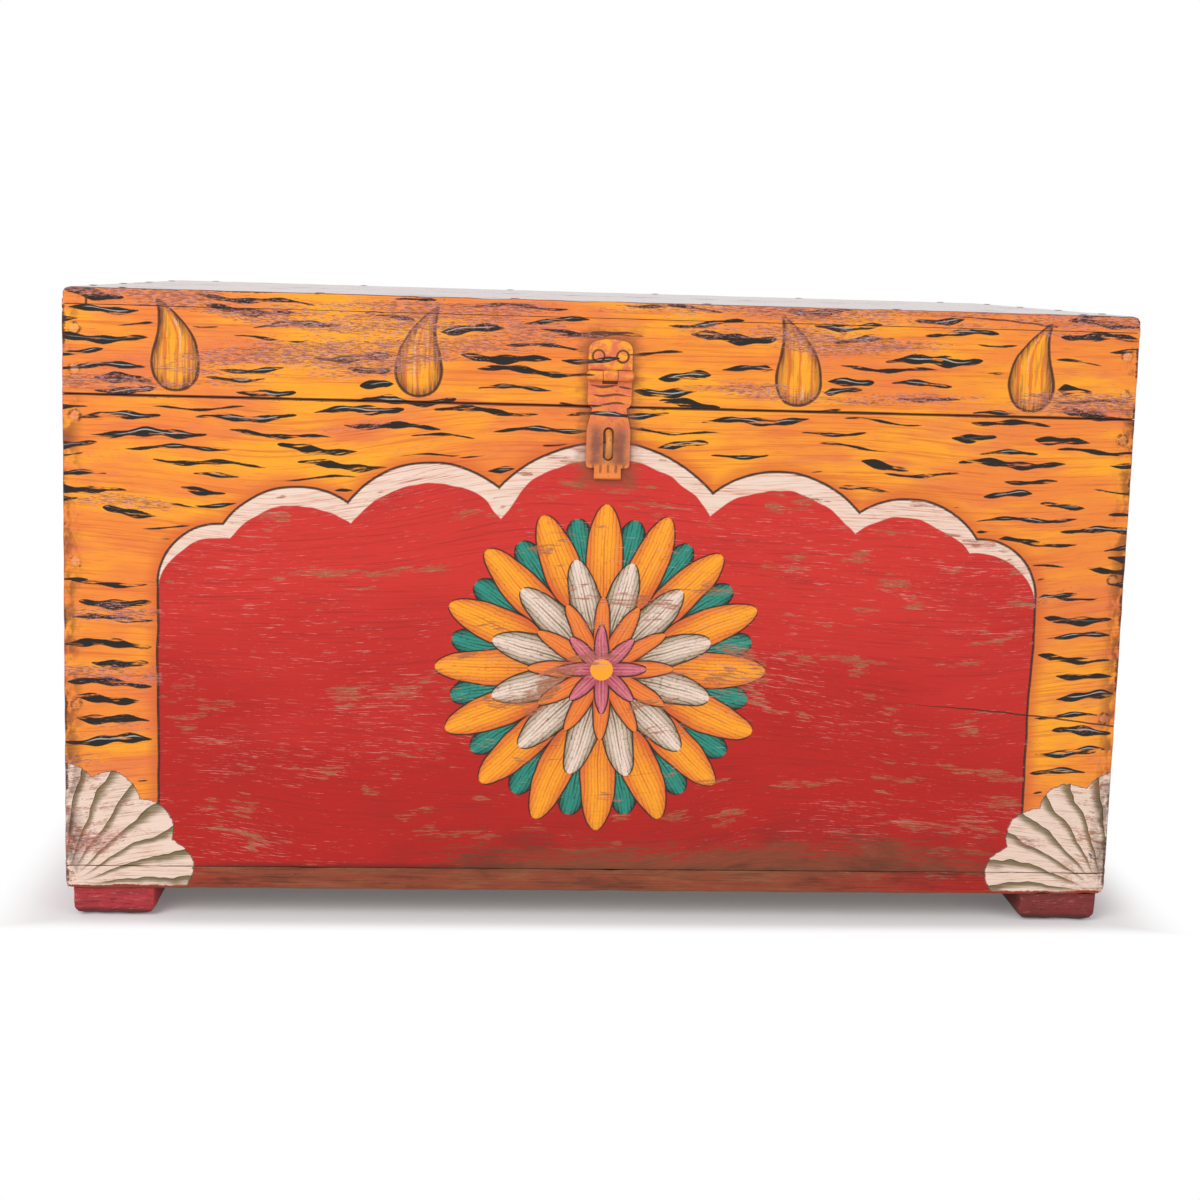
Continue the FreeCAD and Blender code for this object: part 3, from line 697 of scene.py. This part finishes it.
def box_front_paint():
    """The front of the box: orange border, red arched field edged with cream, lotus and fans."""
    s = Surface("box_front_paint")
    outside = arch_distance(s)
    s.bend(90)
    orange_ground(s)
    s.lay(outside.step(12, 0) * 0.7, DEEP_ORANGE)
    band = s.z.step(BAND_LOW, BAND_HIGH) * (s.noise(40, seed=12) * 12 + 7)
    fibres = s.noise((40, 20, 0.9), 3, 0.65, 18)
    cream = s.blend(fibres.step(0.4, 0.6) * 0.9, PALE, CREAM)
    cream = s.blend(fibres.step(0.54, 0.66) * 0.75, cream, PINK_SCUFF)
    cream = s.blend(fibres.step(0.62, 0.7) * 0.7, cream, BROWN)
    field = s.blend((outside + band).step(-0.5, 0.5), red_field(s), cream)
    s.lay(outside.step(0.3, -0.3), field)
    line = abs(outside) - 0.9 - (fibres - 0.5) * 0.8
    s.lay(line.step(0.4, -0.4) * 0.93, INK)
    medallion(s)
    unworn = s.colour
    field_wear(s)
    foot_stain(s)
    s.colour = s.blend(outside.step(0.3, -0.3), unworn, s.colour)
    split(s, *BOARD_SPLIT)
    beyond = corner_fans(s)
    border = (abs(s.x) - FIELD_HALF).step(-0.01, 0.01) * s.z.step(FIELD_SPRING + 0.01, FIELD_SPRING)
    lay_dashes(s, outside.step(1, 7) * beyond, border)
    # Dirt round the hasp and painted shade behind it
    hasp_dirt_and_shade(s)
    nail_rims(s, "front_nails", 4)
    wear = joint_line(s, arris_wear(s, WALL_Z, RIM_Z, *BOX_RUBS, BOX_SOIL))
    return front_finish(s, wear, outside.step(-6, 2))


def sill_paint():
    """The edge of the bottom board: the foot of the red field, rubbed brown, and of the fans."""
    s = Surface("sill_paint")
    s.colour = red_field(s)
    field_wear(s)
    fibres = s.noise((50, 20, 1), 4, 0.7, 34)
    brown = abs(s.x - SILL_MIDDLE).step(SILL_HALF, SILL_HALF * 0.55)
    s.lay(brown * (fibres * 0.9 + 0.35), BROWN)
    cloud = s.noise((44, 20, 9), 4, 0.66, 92)
    s.lay(brown * cloud.step(0.5, 0.34) * 0.5, TAN)
    dirt = fibres.step(0.48, 0.66) * 0.5 + cloud.step(0.5, 0.68) * 0.4 + 0.06
    s.lay(dirt, UMBER)
    corner_fans(s)
    # A lighter brown line along the rounded bottom edge: worn wood, and painted light where the edge
    # catches it
    lit = (s.z - SILL_Z - s.noise(24, 2, 0.6, 16) * 5).step(1, -2)
    s.lay(lit * 0.7, BROWN)
    return front_finish(s, arris_wear(s, SILL_Z, WALL_Z, *SILL_RUBS), 0.4)


# Plain paints


def grain_turn(along):
    """How noise sizes given along, across and up are ordered for a grain along x or y."""
    if along == "x":
        return lambda length, width, height: (length, width, height)
    return lambda length, width, height: (width, length, height)


def board_edges(s, along, flat):
    """How near a surface is to the edges of its board, 1 at the edge."""
    across = HALF_WIDTH - abs(s.x)
    deep = HALF_DEPTH - abs(s.y - MIDDLE_Y)
    if flat:
        return across.least(deep).step(12, 0.3)
    level = abs(s.z - RIM_Z).least(abs(s.z - WALL_Z)).least(TOP_Z - s.z).least(s.z - SILL_Z)
    return level.least(across if along == "x" else deep).step(9, 0.2)


def worn_paint(name, light, dark, along, wear, flat=False, roughness=0.45, bump=0.5, specular=0.3):
    """Old paint on wood whose grain runs along one axis, rubbed through to pale and brown streaks."""
    s = Surface(name)
    turn = grain_turn(along)
    tone = s.noise(turn(240, 24, 20), 4, 0.6, 81)
    s.colour = s.blend(tone.step(0.35, 0.66), dark, light)
    deep = s.blend(0.45, dark, UMBER)
    cloud = s.noise(turn(150, 20, 14), 4, 0.66, 17).step(0.48, 0.66)
    s.lay(cloud * 0.5, deep)
    fibres = s.noise(turn(60, 2.4, 1.3), 3, 0.7, 53)
    s.lay(fibres.step(0.5, 0.68) * 0.6, deep)
    streak = s.noise(turn(22, 2, 0.9), 4, 0.72, 38)
    zones = s.noise(turn(170, 70, 60), seed=26).step(0.34, 0.68)
    pale = (streak + zones * 0.1 - 0.7 + wear * 0.05).step(0, 0.05)
    s.lay(pale * 0.65, PINK_SCUFF)
    rubbed = s.noise(turn(44, 24, 13), 3, 0.6, 62)
    fine = s.noise(turn(20, 2.6, 1.4), 4, 0.78, 29)
    brown = (rubbed.step(0.5, 0.66) * (0.06 + wear * 0.26) + fine - 0.8).step(0, 0.1)
    s.lay(brown * 0.8, BROWN)
    pores = s.noise(turn(80, 4, 1), 3, 0.65, 14)
    s.lay(pores.step(0.62, 0.74) * 0.45, UMBER)
    if not flat:
        ragged = s.noise(60, seed=7) * 60
        soil = (s.z - ragged).step(70, 0) * (fine.step(0.36, 0.62) * 0.5 + 0.25)
        s.lay(soil, UMBER)
    rubs = nibbled(s, board_edges(s, along, flat))
    s.lay(rubs * 0.85, s.blend(fine.step(0.4, 0.6), UMBER, BROWN))
    relief = s.noise(turn(60, 5, 1.6), 3, 0.6, 5) * 0.25 - pores * 0.2
    return s.finish(pale.most(brown) * 0.2 + roughness, relief, bump, specular)


def foot_finish():
    """Dark red feet, rubbed, darker towards the floor and in patches; the right-hand ones darker and
    browner, in painted shade of light that falls from the left.
    """
    s = Surface("foot_paint")
    tone = s.noise((30, 30, 16), 3, 0.6, 81)
    # The right-hand feet darker and browner: painted shade of light that falls from the left
    brown = s.x.sign() * 0.5 + 0.5 + (tone - 0.5) * 0.8
    s.colour = s.blend(brown.least(1).most(0), FOOT_RED, FOOT_BROWN)
    fibres = s.noise((26, 26, 1.4), 4, 0.7, 47)
    s.lay(fibres.step(0.48, 0.66) * 0.45, UMBER)
    rubs = s.noise((9, 9, 2), 4, 0.7, 27)
    s.lay(rubs.step(0.56, 0.7) * 0.45, PINK_SCUFF)
    # Darker towards the floor and in dark patches
    low = (s.z - 2.5 - tone * 6).step(2, -2)
    s.lay(low.most(rubs.step(0.43, 0.32)) * 0.75, UMBER)
    return s.finish(rubs * 0.2 + 0.45, tone * 0.3 + rubs * 0.15, specular=0.3)


def bare_wood(name, along):
    """Unpainted wood inside the trunk, with grain along one axis."""
    s = Surface(name)
    turn = grain_turn(along)
    figure = s.noise(turn(260, 16, 16), 3, 0.6, 3)
    rings = (figure * 60).sin() * 0.5 + 0.5
    fibre = s.noise(turn(60, 1.4, 1.4), 3, 0.65, 8)
    s.colour = s.blend(rings * 0.5 + fibre * 0.5, TEAK, TEAK_DARK)
    s.lay(fibre.step(0.62, 0.74) * 0.5, UMBER)
    return s.finish(0.62, fibre * 0.3, 0.4, 0.3)


def grime_and_shade(s, reach, strength):
    """Dirt and painted shade in the corners and gaps between pieces, darkest where little light
    reaches.
    """
    shade = add_node(s.tree, "AmbientOcclusion", {"Distance": reach * MM}, samples=6)
    s.lay(Field(shade.outputs["AO"]).step(0.75, 0.25) * strength, UMBER)


# The hasp's paint, measured down from its pin: where the lid's orange ends and where the tongue starts
PAINT_DROP = 31
TONGUE_DROP = 63

# Brush strokes across the flap's stem: drop below the pin, middle and half length
STEM_STROKES = ((7.3, -4, 10), (8.3, 11, 5), (13.8, 0, 12), (19.8, 2, 9))


def hasp_lower(s, drop, mottle):
    """Rubbed brown of the flap's lower half, mauve beside the slot, lighter coral towards its sides
    where the edges are rubbed and carry a painted highlight, with strokes on the tongue.
    """
    beside = abs(abs(s.x) - HASP_HALF * 0.6) + (mottle - 0.5) * 9
    colour = s.blend(beside.step(7, 0) * 0.9, HASP_BROWN, HASP_MAUVE)
    # Lighter towards the flap's sides: rubbed edges and a painted highlight
    colour = s.blend((HASP_HALF - abs(s.x)).step(3.7, 0.3) * 0.45, colour, CORAL)
    tongue = drop.step(TONGUE_DROP - 2, TONGUE_DROP + 2)
    strokes = (s.x * 1.15 + mottle * 2).sin().step(0.2, 0.8) * tongue
    strokes = strokes * (drop + mottle * 4).step(TONGUE_DROP + 9, TONGUE_DROP + 7)
    colour = s.blend(tongue * 0.8, colour, ORANGE)
    return s.blend(strokes * 0.7, colour, RUST)


def plate_nail_rims(s, mottle):
    """Dark rims round the two broad nails of the hasp's plate: painted shade where the heads stand off
    the plate, and dirt.
    """
    low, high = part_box("hasp_plate_nails")
    head = (high[2] - low[2]) / 2 / MM
    across = abs(s.x) - (high[0] / MM - head)
    rise = s.z - (low[2] / MM + head)
    rim = abs(distance(across, rise) - head) - 0.7 + (mottle - 0.5) * 1.8
    s.lay(rim.step(0.4, -0.4) * 0.85, UMBER)


def stem_strokes(s, drop, mottle):
    """Short dark brush strokes across the flap's stem."""
    for level, middle, reach in STEM_STROKES:
        along = (s.x - middle) / reach
        thick = (1 - along * along).most(0).root() * 0.85
        stroke = abs(drop - level + (s.x * 0.3).sin() * 0.6) - thick + (mottle - 0.5) * 1.6
        s.lay(stroke.step(0.25, -0.25) * 0.85, UMBER)


def hasp_paint():
    """The hasp: the lid's orange and dashes above, rubbed brown below, bare iron behind."""
    s = Surface("hasp_paint")
    drop = HASP_PIN_Z - s.z
    mottle = s.noise((9, 9, 6), 3, 0.6, 6)
    upper = s.blend(drop.step(-6, 7), YELLOW, ORANGE)
    upper = s.blend(mottle.step(0.38, 0.6), upper, CORAL)
    below = (drop - mottle * 10).step(PAINT_DROP - 6, PAINT_DROP + 6)
    s.colour = s.blend(below, upper, hasp_lower(s, drop, mottle))
    lay_dashes(s, drop.step(PAINT_DROP + 2, PAINT_DROP - 6))
    plate_nail_rims(s, mottle)
    stem_strokes(s, drop, mottle)
    pits = s.noise(1.6, 3, 0.7, 11)
    s.lay(pits.step(0.58, 0.7) * 0.6, RUST)
    s.lay(s.backward(), s.blend(mottle.step(0.4, 0.6), IRON, RUST))
    # Dirt and painted shade where the hasp's parts and the boards close in on it
    grime_and_shade(s, 3.2, 0.95)
    return s.finish(pits * 0.25 + 0.38, mottle * 0.5 + pits * 0.14)


def forged_iron(name, light, dark, wear_colour, roughness, metallic, size=9):
    """Hand-worked iron, painted or bare: mottled, dented, rubbed on its high places."""
    s = Surface(name)
    mottle = s.noise(size, 3, 0.6, 6)
    s.colour = s.blend(mottle.step(0.35, 0.65), light, dark)
    pits = s.noise(1.6, 3, 0.7, 11)
    s.lay(pits.step(0.56, 0.7) * 0.65, wear_colour)
    # Dirt and painted shade in the iron's corners and gaps
    grime_and_shade(s, 3, 0.6)
    return s.finish(pits * 0.2 + roughness, mottle * 0.35 + pits * 0.12, 0.5, 0.4, metallic)


# Worn boards

# Radii of edges: the ends of the lid's top, of the bottom, and the lower ends and sides of a foot,
# then an open edge, an edge at the rim, and one at a tight seam
END_ROUND = 0.007
SILL_ROUND = 0.0045
FOOT_CORNER = 0.009
FOOT_EDGE = 0.0075
ARRIS = 0.002
RIM_ROUND = 0.0004
SEAM_ROUND = 0.00015

# Spacing of a mesh's points on a board and on a foot. Near an edge they lie at these distances from
# it, close enough to carry a rounded arris, and this far or more from the middle of a thin board
BOARD_STEP = 0.008
FOOT_STEP = 0.004
EDGE_TICKS = (0.0, 0.0005, 0.0011, 0.0018, 0.0028, 0.0042, 0.0065)
MIDDLE_GAP = 0.0004

# Nicks: how many a board has, the share at its ends, and their least and largest reach and depth
NICK_COUNT = 14
END_NICKS = 0.15
NICK_REACH = (0.004, 0.012)
NICK_DEPTH = (0.0003, 0.0011)

# Rubbing: its depth, how it fades with the distance from an edge along a face and into the wood,
# the least that counts, and the rates and shares of its coarse and fine noise
RUB_DEPTH = 0.0009
RUB_FADE = 0.004
RUB_SINK = 0.003
RUB_LEAST = 0.02
COARSE_RATE = 55.0
COARSE_LIFT = 0.25
COARSE_SHARE = 0.6
FINE_RATE = 160.0
FINE_SHARE = 0.5

# Within this distance of a quiet side, only this share of the wear is left
QUIET_REACH = 0.004
QUIET_SHARE = 0.12

# Waves of the faces: half their depth, and their rate
WAVE_DEPTH = 0.00012
WAVE_RATE = 9.0


def side_name(axis, end):
    """The name of a board's side, such as x0 for its left end or z1 for its top."""
    return "xyz"[axis] + str(end)


def side_place(side):
    """The axis and the end that a side's name stands for."""
    return "xyz".index(side[0]), int(side[1])


def ticks(low, high, step):
    """Places along one side of a board: close together at the ends, about a step apart between."""
    near = [place for place in EDGE_TICKS if place < (high - low) / 2 - MIDDLE_GAP]
    start = low + near[-1]
    stop = high - near[-1]
    count = max(1, round((stop - start) / step))
    first = [low + place for place in near]
    middle = [start + (stop - start) * index / count for index in range(1, count)]
    last = [high - place for place in reversed(near)]
    return np.array(first + middle + last)


def shell(axes):
    """A closed box of quads over three rows of ticks. Returns points, faces and each face's side."""
    index = {}
    points = []
    faces = []
    sides = []

    def corner(key):
        if key not in index:
            index[key] = len(points)
            points.append([axes[axis][key[axis]] for axis in range(3)])
        return index[key]

    for axis in range(3):
        first, second = [(1, 2), (2, 0), (0, 1)][axis]
        for end in (0, 1):
            level = end * (len(axes[axis]) - 1)
            for i in range(len(axes[first]) - 1):
                for j in range(len(axes[second]) - 1):
                    ring = [(i, j), (i + 1, j), (i + 1, j + 1), (i, j + 1)]
                    keys = []
                    for a, b in ring if end else reversed(ring):
                        key = [level] * 3
                        key[first], key[second] = a, b
                        keys.append(corner(tuple(key)))
                    faces.append(keys)
                    sides.append((axis, end))
    return np.array(points), faces, sides


def round_edges(points, low, high, radii):
    """Rounds the edges of a box: radii maps pairs of sides, such as x0 and z1, to a radius."""
    for a, b in ((0, 1), (0, 2), (1, 2)):
        for end_a in (0, 1):
            for end_b in (0, 1):
                sides = side_name(a, end_a), side_name(b, end_b)
                radius = radii.get(sides, SEAM_ROUND)
                inward_a = 1 - 2 * end_a
                inward_b = 1 - 2 * end_b
                centre_a = (high if end_a else low)[a] + inward_a * radius
                centre_b = (high if end_b else low)[b] + inward_b * radius
                away_a = points[:, a] - centre_a
                away_b = points[:, b] - centre_b
                near = (away_a * inward_a < 0) & (away_b * inward_b < 0)
                length = np.hypot(away_a, away_b)
                near &= length > 1e-9
                shrink = np.maximum(abs(away_a), abs(away_b))[near] / length[near]
                points[near, a] = centre_a + away_a[near] * shrink
                points[near, b] = centre_b + away_b[near] * shrink
    return points


def nick_places(low, high, outer, seed):
    """Random places along the outer edges of a board, each with a reach and a depth."""
    dice = random.Random(seed)
    places = []
    for _ in range(NICK_COUNT):
        place = [dice.uniform(low[axis], high[axis]) for axis in range(3)]
        for axis in range(3):
            if axis != 0 or dice.random() < END_NICKS:
                place[axis] = dice.choice((low[axis], high[axis]))
        axis, end = side_place(outer)
        place[axis] = (low, high)[end][axis]
        places.append((np.array(place), dice.uniform(*NICK_REACH), dice.uniform(*NICK_DEPTH)))
    return places


def wear_edges(points, low, high, quiet, nicks, seed):
    """Rubs the edges back unevenly and nicks them, and leaves the faces very slightly wavy.

    Edges that meet a quiet side stay nearly sharp, because paint bridges the joint there.
    """
    to_low = points - np.array(low)
    to_high = np.array(high) - points
    gap = np.minimum(to_low, to_high)
    inward = np.where(to_low < to_high, 1.0, -1.0)
    order = np.argsort(gap, axis=1)
    rows = np.arange(len(points))
    face = order[:, 0]
    edge = np.exp(-np.maximum(gap[rows, order[:, 1]], 0.0) / RUB_FADE)
    wave = np.array([noise.noise(Vector(place) * WAVE_RATE + seed * 2.0) for place in points])
    worn = points.copy()
    worn[rows, face] += inward[rows, face] * (wave + 1.0) * WAVE_DEPTH
    depth = np.zeros(len(points))
    for row in np.nonzero(edge > RUB_LEAST)[0]:
        at = Vector(points[row])
        rub = max(0.0, noise.noise(at * COARSE_RATE + seed) + COARSE_LIFT) * COARSE_SHARE
        rub += max(0.0, noise.noise(at * FINE_RATE - seed)) * FINE_SHARE
        depth[row] = edge[row] * rub * RUB_DEPTH
    for middle, reach, bite in nicks:
        apart = np.linalg.norm(points - middle, axis=1) / reach
        depth += bite * np.maximum(1.0 - apart * apart, 0.0)
    for side in quiet:
        axis, end = side_place(side)
        apart = (to_low, to_high)[end][:, axis]
        depth[apart < QUIET_REACH] *= QUIET_SHARE
    for rank in (0, 1):
        axis = order[:, rank]
        worn[rows, axis] += inward[rows, axis] * depth * np.exp(-gap[rows, axis] / RUB_SINK)
    return worn


def worn_board(node, body, paints, radii, outer, quiet=(), step=BOARD_STEP):
    """A board in place of a plain one, with rounded and rubbed edges.

    paints maps sides to materials, with the one for all other sides under rest.
    """
    low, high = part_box(node)
    axes = [ticks(low[axis], high[axis], step) for axis in range(3)]
    points, faces, sides = shell(axes)
    points = round_edges(points, low, high, radii)
    # A board's name decides its own noise and nicks
    number = sum(map(ord, node))
    seed = Vector((len(node) * 1.7, number * 0.013, 3.1))
    nicks = nick_places(low, high, outer, number)
    points = wear_edges(points, low, high, quiet, nicks, seed)
    mesh = bpy.data.meshes.new("worn_" + node)
    mesh.from_pydata(points.tolist(), [], faces)
    materials = list(dict.fromkeys(paints.values()))
    for material in materials:
        mesh.materials.append(material)
    laid = [paints.get(side_name(*side), paints["rest"]) for side in sides]
    mesh.polygons.foreach_set("material_index", [materials.index(paint) for paint in laid])
    mesh.polygons.foreach_set("use_smooth", [True] * len(faces))
    mesh.update()
    piece = bpy.data.objects.new("worn_" + node, mesh)
    bpy.context.collection.objects.link(piece)
    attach(piece, body)
    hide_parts(node)


# Materials

lid_front = lid_front_paint()
lid_edge = lid_edge_paint()
box_front = box_front_paint()
sill_front = sill_paint()
red_along = worn_paint("red_paint_along", BRIGHT_RED, RED, "x", 0.8)
red_across = worn_paint("red_paint_across", BRIGHT_RED, RED, "y", 0.8)
top_paint = worn_paint("lid_top_paint", TOP_RED, TOP_BROWN, "x", 1.0, True, 0.14, 0.08, 0.6)
foot_paint = foot_finish()
bare_along = bare_wood("bare_wood_along", "x")
bare_across = bare_wood("bare_wood_across", "y")
hinge_iron = forged_iron("hinge_iron", IRON, DARK_IRON, RUST, 0.5, 0.8)
hasp_iron = hasp_paint()
staple_iron = forged_iron("staple_iron", OCHRE, HASP_BROWN, RUST, 0.42, 0.0)
plain_iron = forged_iron("nail_iron", BROWN, IRON, RUST, 0.55, 0.6, 4.0)

# Boards


def facing_radii(outer):
    """Edge radii of a front (y0) or back (y1) board."""
    return {
        ("x0", outer): ARRIS,
        ("x1", outer): ARRIS,
        (outer, "z0"): RIM_ROUND,
        (outer, "z1"): RIM_ROUND,
    }


ends = {"x0": red_across, "x1": red_across}
front_paints = {"y0": box_front, **ends, "rest": bare_along}
lid_paints = {"y0": lid_front, **ends, "rest": bare_along}
back_paints = {"y1": red_along, **ends, "rest": bare_along}
front_radii = facing_radii("y0")
lid_radii = {**front_radii, ("y0", "z1"): SEAM_ROUND}
back_radii = facing_radii("y1")
worn_board("front_board", "box", front_paints, front_radii, "y0", ("z0", "z1"))
worn_board("back_board", "box", back_paints, back_radii, "y1", ("z1",))
worn_board("lid_front_rail", "lid", lid_paints, lid_radii, "y0", ("z0", "z1"))
worn_board("lid_back_rail", "lid", back_paints, back_radii, "y1", ("z0", "z1"))

board_quiet = ("y0", "y1", "z1")
rail_quiet = ("y0", "y1", "z0", "z1")
for hand, outer in (("left", "x0"), ("right", "x1")):
    paints = {outer: red_across, "rest": bare_across}
    radii = {(outer, "z0"): RIM_ROUND, (outer, "z1"): RIM_ROUND}
    worn_board(hand + "_side_board", "box", paints, radii, outer, board_quiet)
    worn_board("lid_" + hand + "_rail", "lid", paints, radii, outer, rail_quiet)

for place, outer, top_edge, bottom_edge in (
    ("front", "y0", lid_edge, sill_front),
    ("rear", "y1", red_along, red_along),
):
    upright = {("x0", outer): ARRIS, ("x1", outer): ARRIS}
    paints = {**ends, outer: top_edge, "z1": top_paint, "rest": bare_along}
    radii = {("x0", "z1"): END_ROUND, ("x1", "z1"): END_ROUND, (outer, "z1"): ARRIS, **upright}
    node = "lid_top_" + place + "_plank"
    worn_board(node, "lid", paints, radii, outer, ("z0",))
    paints = {**ends, outer: bottom_edge, "rest": bare_along}
    radii = {("x0", "z0"): SILL_ROUND, ("x1", "z0"): SILL_ROUND, (outer, "z0"): ARRIS, **upright}
    worn_board("bottom_" + place + "_plank", "box", paints, radii, outer)

foot_radii = {(end, "z0"): FOOT_CORNER for end in ("x0", "x1")}
foot_radii.update({(end, "z0"): FOOT_EDGE for end in ("y0", "y1")})
foot_radii.update({(end, face): ARRIS for end in ("x0", "x1") for face in ("y0", "y1")})
for place in ("front_left", "front_right", "rear_left", "rear_right"):
    paints = {"rest": foot_paint}
    worn_board("foot_" + place, "box", paints, foot_radii, "y0", ("z1",), FOOT_STEP)

# Carried-over pieces

FINISHES = {
    "front_nails": box_front,
    "lid_corner_nails": lid_front,
    "hasp_plate": hasp_iron,
    "hasp_flap": hasp_iron,
    "hasp_pin": hasp_iron,
    "hasp_plate_nails": hasp_iron,
    "staple": staple_iron,
    "back_nails": red_along,
    "lid_top_nails": top_paint,
    "bottom_nails": plain_iron,
    "foot_nails": plain_iron,
    "hinge_box_nails": plain_iron,
    "hinge_lid_nails": plain_iron,
}
for name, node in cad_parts.items():
    finish = FINISHES.get(name)
    if finish is None and name.startswith("hinge_"):
        finish = hinge_iron
    if finish:
        node.data.materials.clear()
        node.data.materials.append(finish)

# Stage

# Half the floor's width in metres, the millimetres over which it fades to white in front of the
# trunk and beside it, and the share by which its shadow is lifted
FLOOR_HALF = 6.0
FRONT_FADE = 24.0
SIDE_FADE = 64.0
SHADOW_LIFT = 0.12

# Strength of the surround, and place, size and power of the lamps, which aim at one place
SURROUND_LIGHT = 0.52
KEY_LIGHT = ((-1.5, -2.2, 2.1), 1.8, 50.0)
FILL_LIGHT = ((1.9, -2.0, 1.4), 1.6, 12.0)
LIGHT_AIM = Vector((0, 0, 0.22))

# The camera as fitted to the photograph: place, turns in degrees, lens and shift
CAMERA_PLACE = (-0.082, -1.417, 0.475)
CAMERA_YAW = -3.64
CAMERA_PITCH = 6.76
CAMERA_ROLL = -1.71
SENSOR_WIDTH = 36.0
LENS_LENGTH = 51.63
LENS_SHIFT = -0.1075


def background_rays(tree):
    """1 for the rays that show a background: from the camera, off gloss or through glass."""
    rays = add_node(tree, "LightPath", {})
    seen = Field(rays.outputs["Is Camera Ray"])
    for name in ("Is Glossy Ray", "Is Transmission Ray"):
        seen = seen.most(Field(rays.outputs[name]))
    return seen


def pale_floor():
    """A floor that shows the trunk's shadow and is white further away."""
    floor_mesh = bpy.data.meshes.new("floor")
    corners = [(x * FLOOR_HALF, y * FLOOR_HALF, 0) for x, y in ((-1, -1), (1, -1), (1, 1), (-1, 1))]
    floor_mesh.from_pydata(corners, [], [(0, 1, 2, 3)])
    floor = bpy.data.objects.new("floor", floor_mesh)
    bpy.context.collection.objects.link(floor)
    s = Surface("floor_paint")
    beside = (abs(s.x) - HALF_WIDTH) / SIDE_FADE
    ahead = (FRONT_Y - s.y) / FRONT_FADE
    behind = (s.y - BACK_Y) / SIDE_FADE
    away = beside.most(ahead).most(behind)
    s.colour = FLOOR_WHITE
    s.finish(0.9, s.noise(30) * 0.05, 0.1, 0.1)
    white = away.step(0, 1) * (1 - SHADOW_LIFT) + SHADOW_LIFT
    glow = Field(add_node(s.tree, "Emission", {}).outputs[0])
    inputs = {0: background_rays(s.tree) * white, 1: Field(s.shader.outputs[0]), 2: glow}
    mixed = Field(add_node(s.tree, "MixShader", inputs).outputs[0])
    connect(mixed, s.tree.nodes["Material Output"].inputs["Surface"])
    floor_mesh.materials.append(s.material)


def white_surround():
    """A surround that looks white and lights the trunk softly."""
    world = bpy.data.worlds.new("surround")
    bpy.context.scene.world = world
    world.use_nodes = True
    tree = world.node_tree
    background = tree.nodes["Background"]
    strength = background_rays(tree) * (1 - SURROUND_LIGHT) + SURROUND_LIGHT
    connect((1, 1, 1, 1), background.inputs["Color"])
    connect(strength, background.inputs["Strength"])


def soft_light(name, place, size, power):
    """A square lamp that faces the trunk."""
    lamp = bpy.data.lights.new(name, "AREA")
    lamp.size = size
    lamp.energy = power
    lit = bpy.data.objects.new(name, lamp)
    bpy.context.collection.objects.link(lit)
    lit.location = place
    lit.rotation_euler = (LIGHT_AIM - Vector(place)).to_track_quat("-Z", "Y").to_euler()


def photo_camera():
    """A camera at the photograph's angle: a little above the lid, turned and tilted slightly."""
    yaw = math.radians(CAMERA_YAW)
    pitch = math.radians(CAMERA_PITCH)
    roll = math.radians(CAMERA_ROLL)
    level = Vector((math.cos(yaw), math.sin(yaw), 0))
    ahead = Vector((-math.sin(yaw), math.cos(yaw), 0))
    ahead = math.cos(pitch) * ahead + math.sin(pitch) * Vector((0, 0, -1))
    down = ahead.cross(level)
    right = math.cos(roll) * level + math.sin(roll) * down
    down = -math.sin(roll) * level + math.cos(roll) * down
    lens = bpy.data.cameras.new("photo_camera")
    lens.sensor_width = SENSOR_WIDTH
    lens.lens = LENS_LENGTH
    lens.shift_y = LENS_SHIFT
    camera = bpy.data.objects.new("photo_camera", lens)
    bpy.context.collection.objects.link(camera)
    turn = Matrix((right, -down, -ahead)).transposed()
    camera.matrix_world = Matrix.Translation(CAMERA_PLACE) @ turn.to_4x4()
    bpy.context.scene.camera = camera


pale_floor()
white_surround()
soft_light("key_light", *KEY_LIGHT)
soft_light("fill_light", *FILL_LIGHT)
photo_camera()
bpy.context.scene.view_settings.view_transform = "Standard"
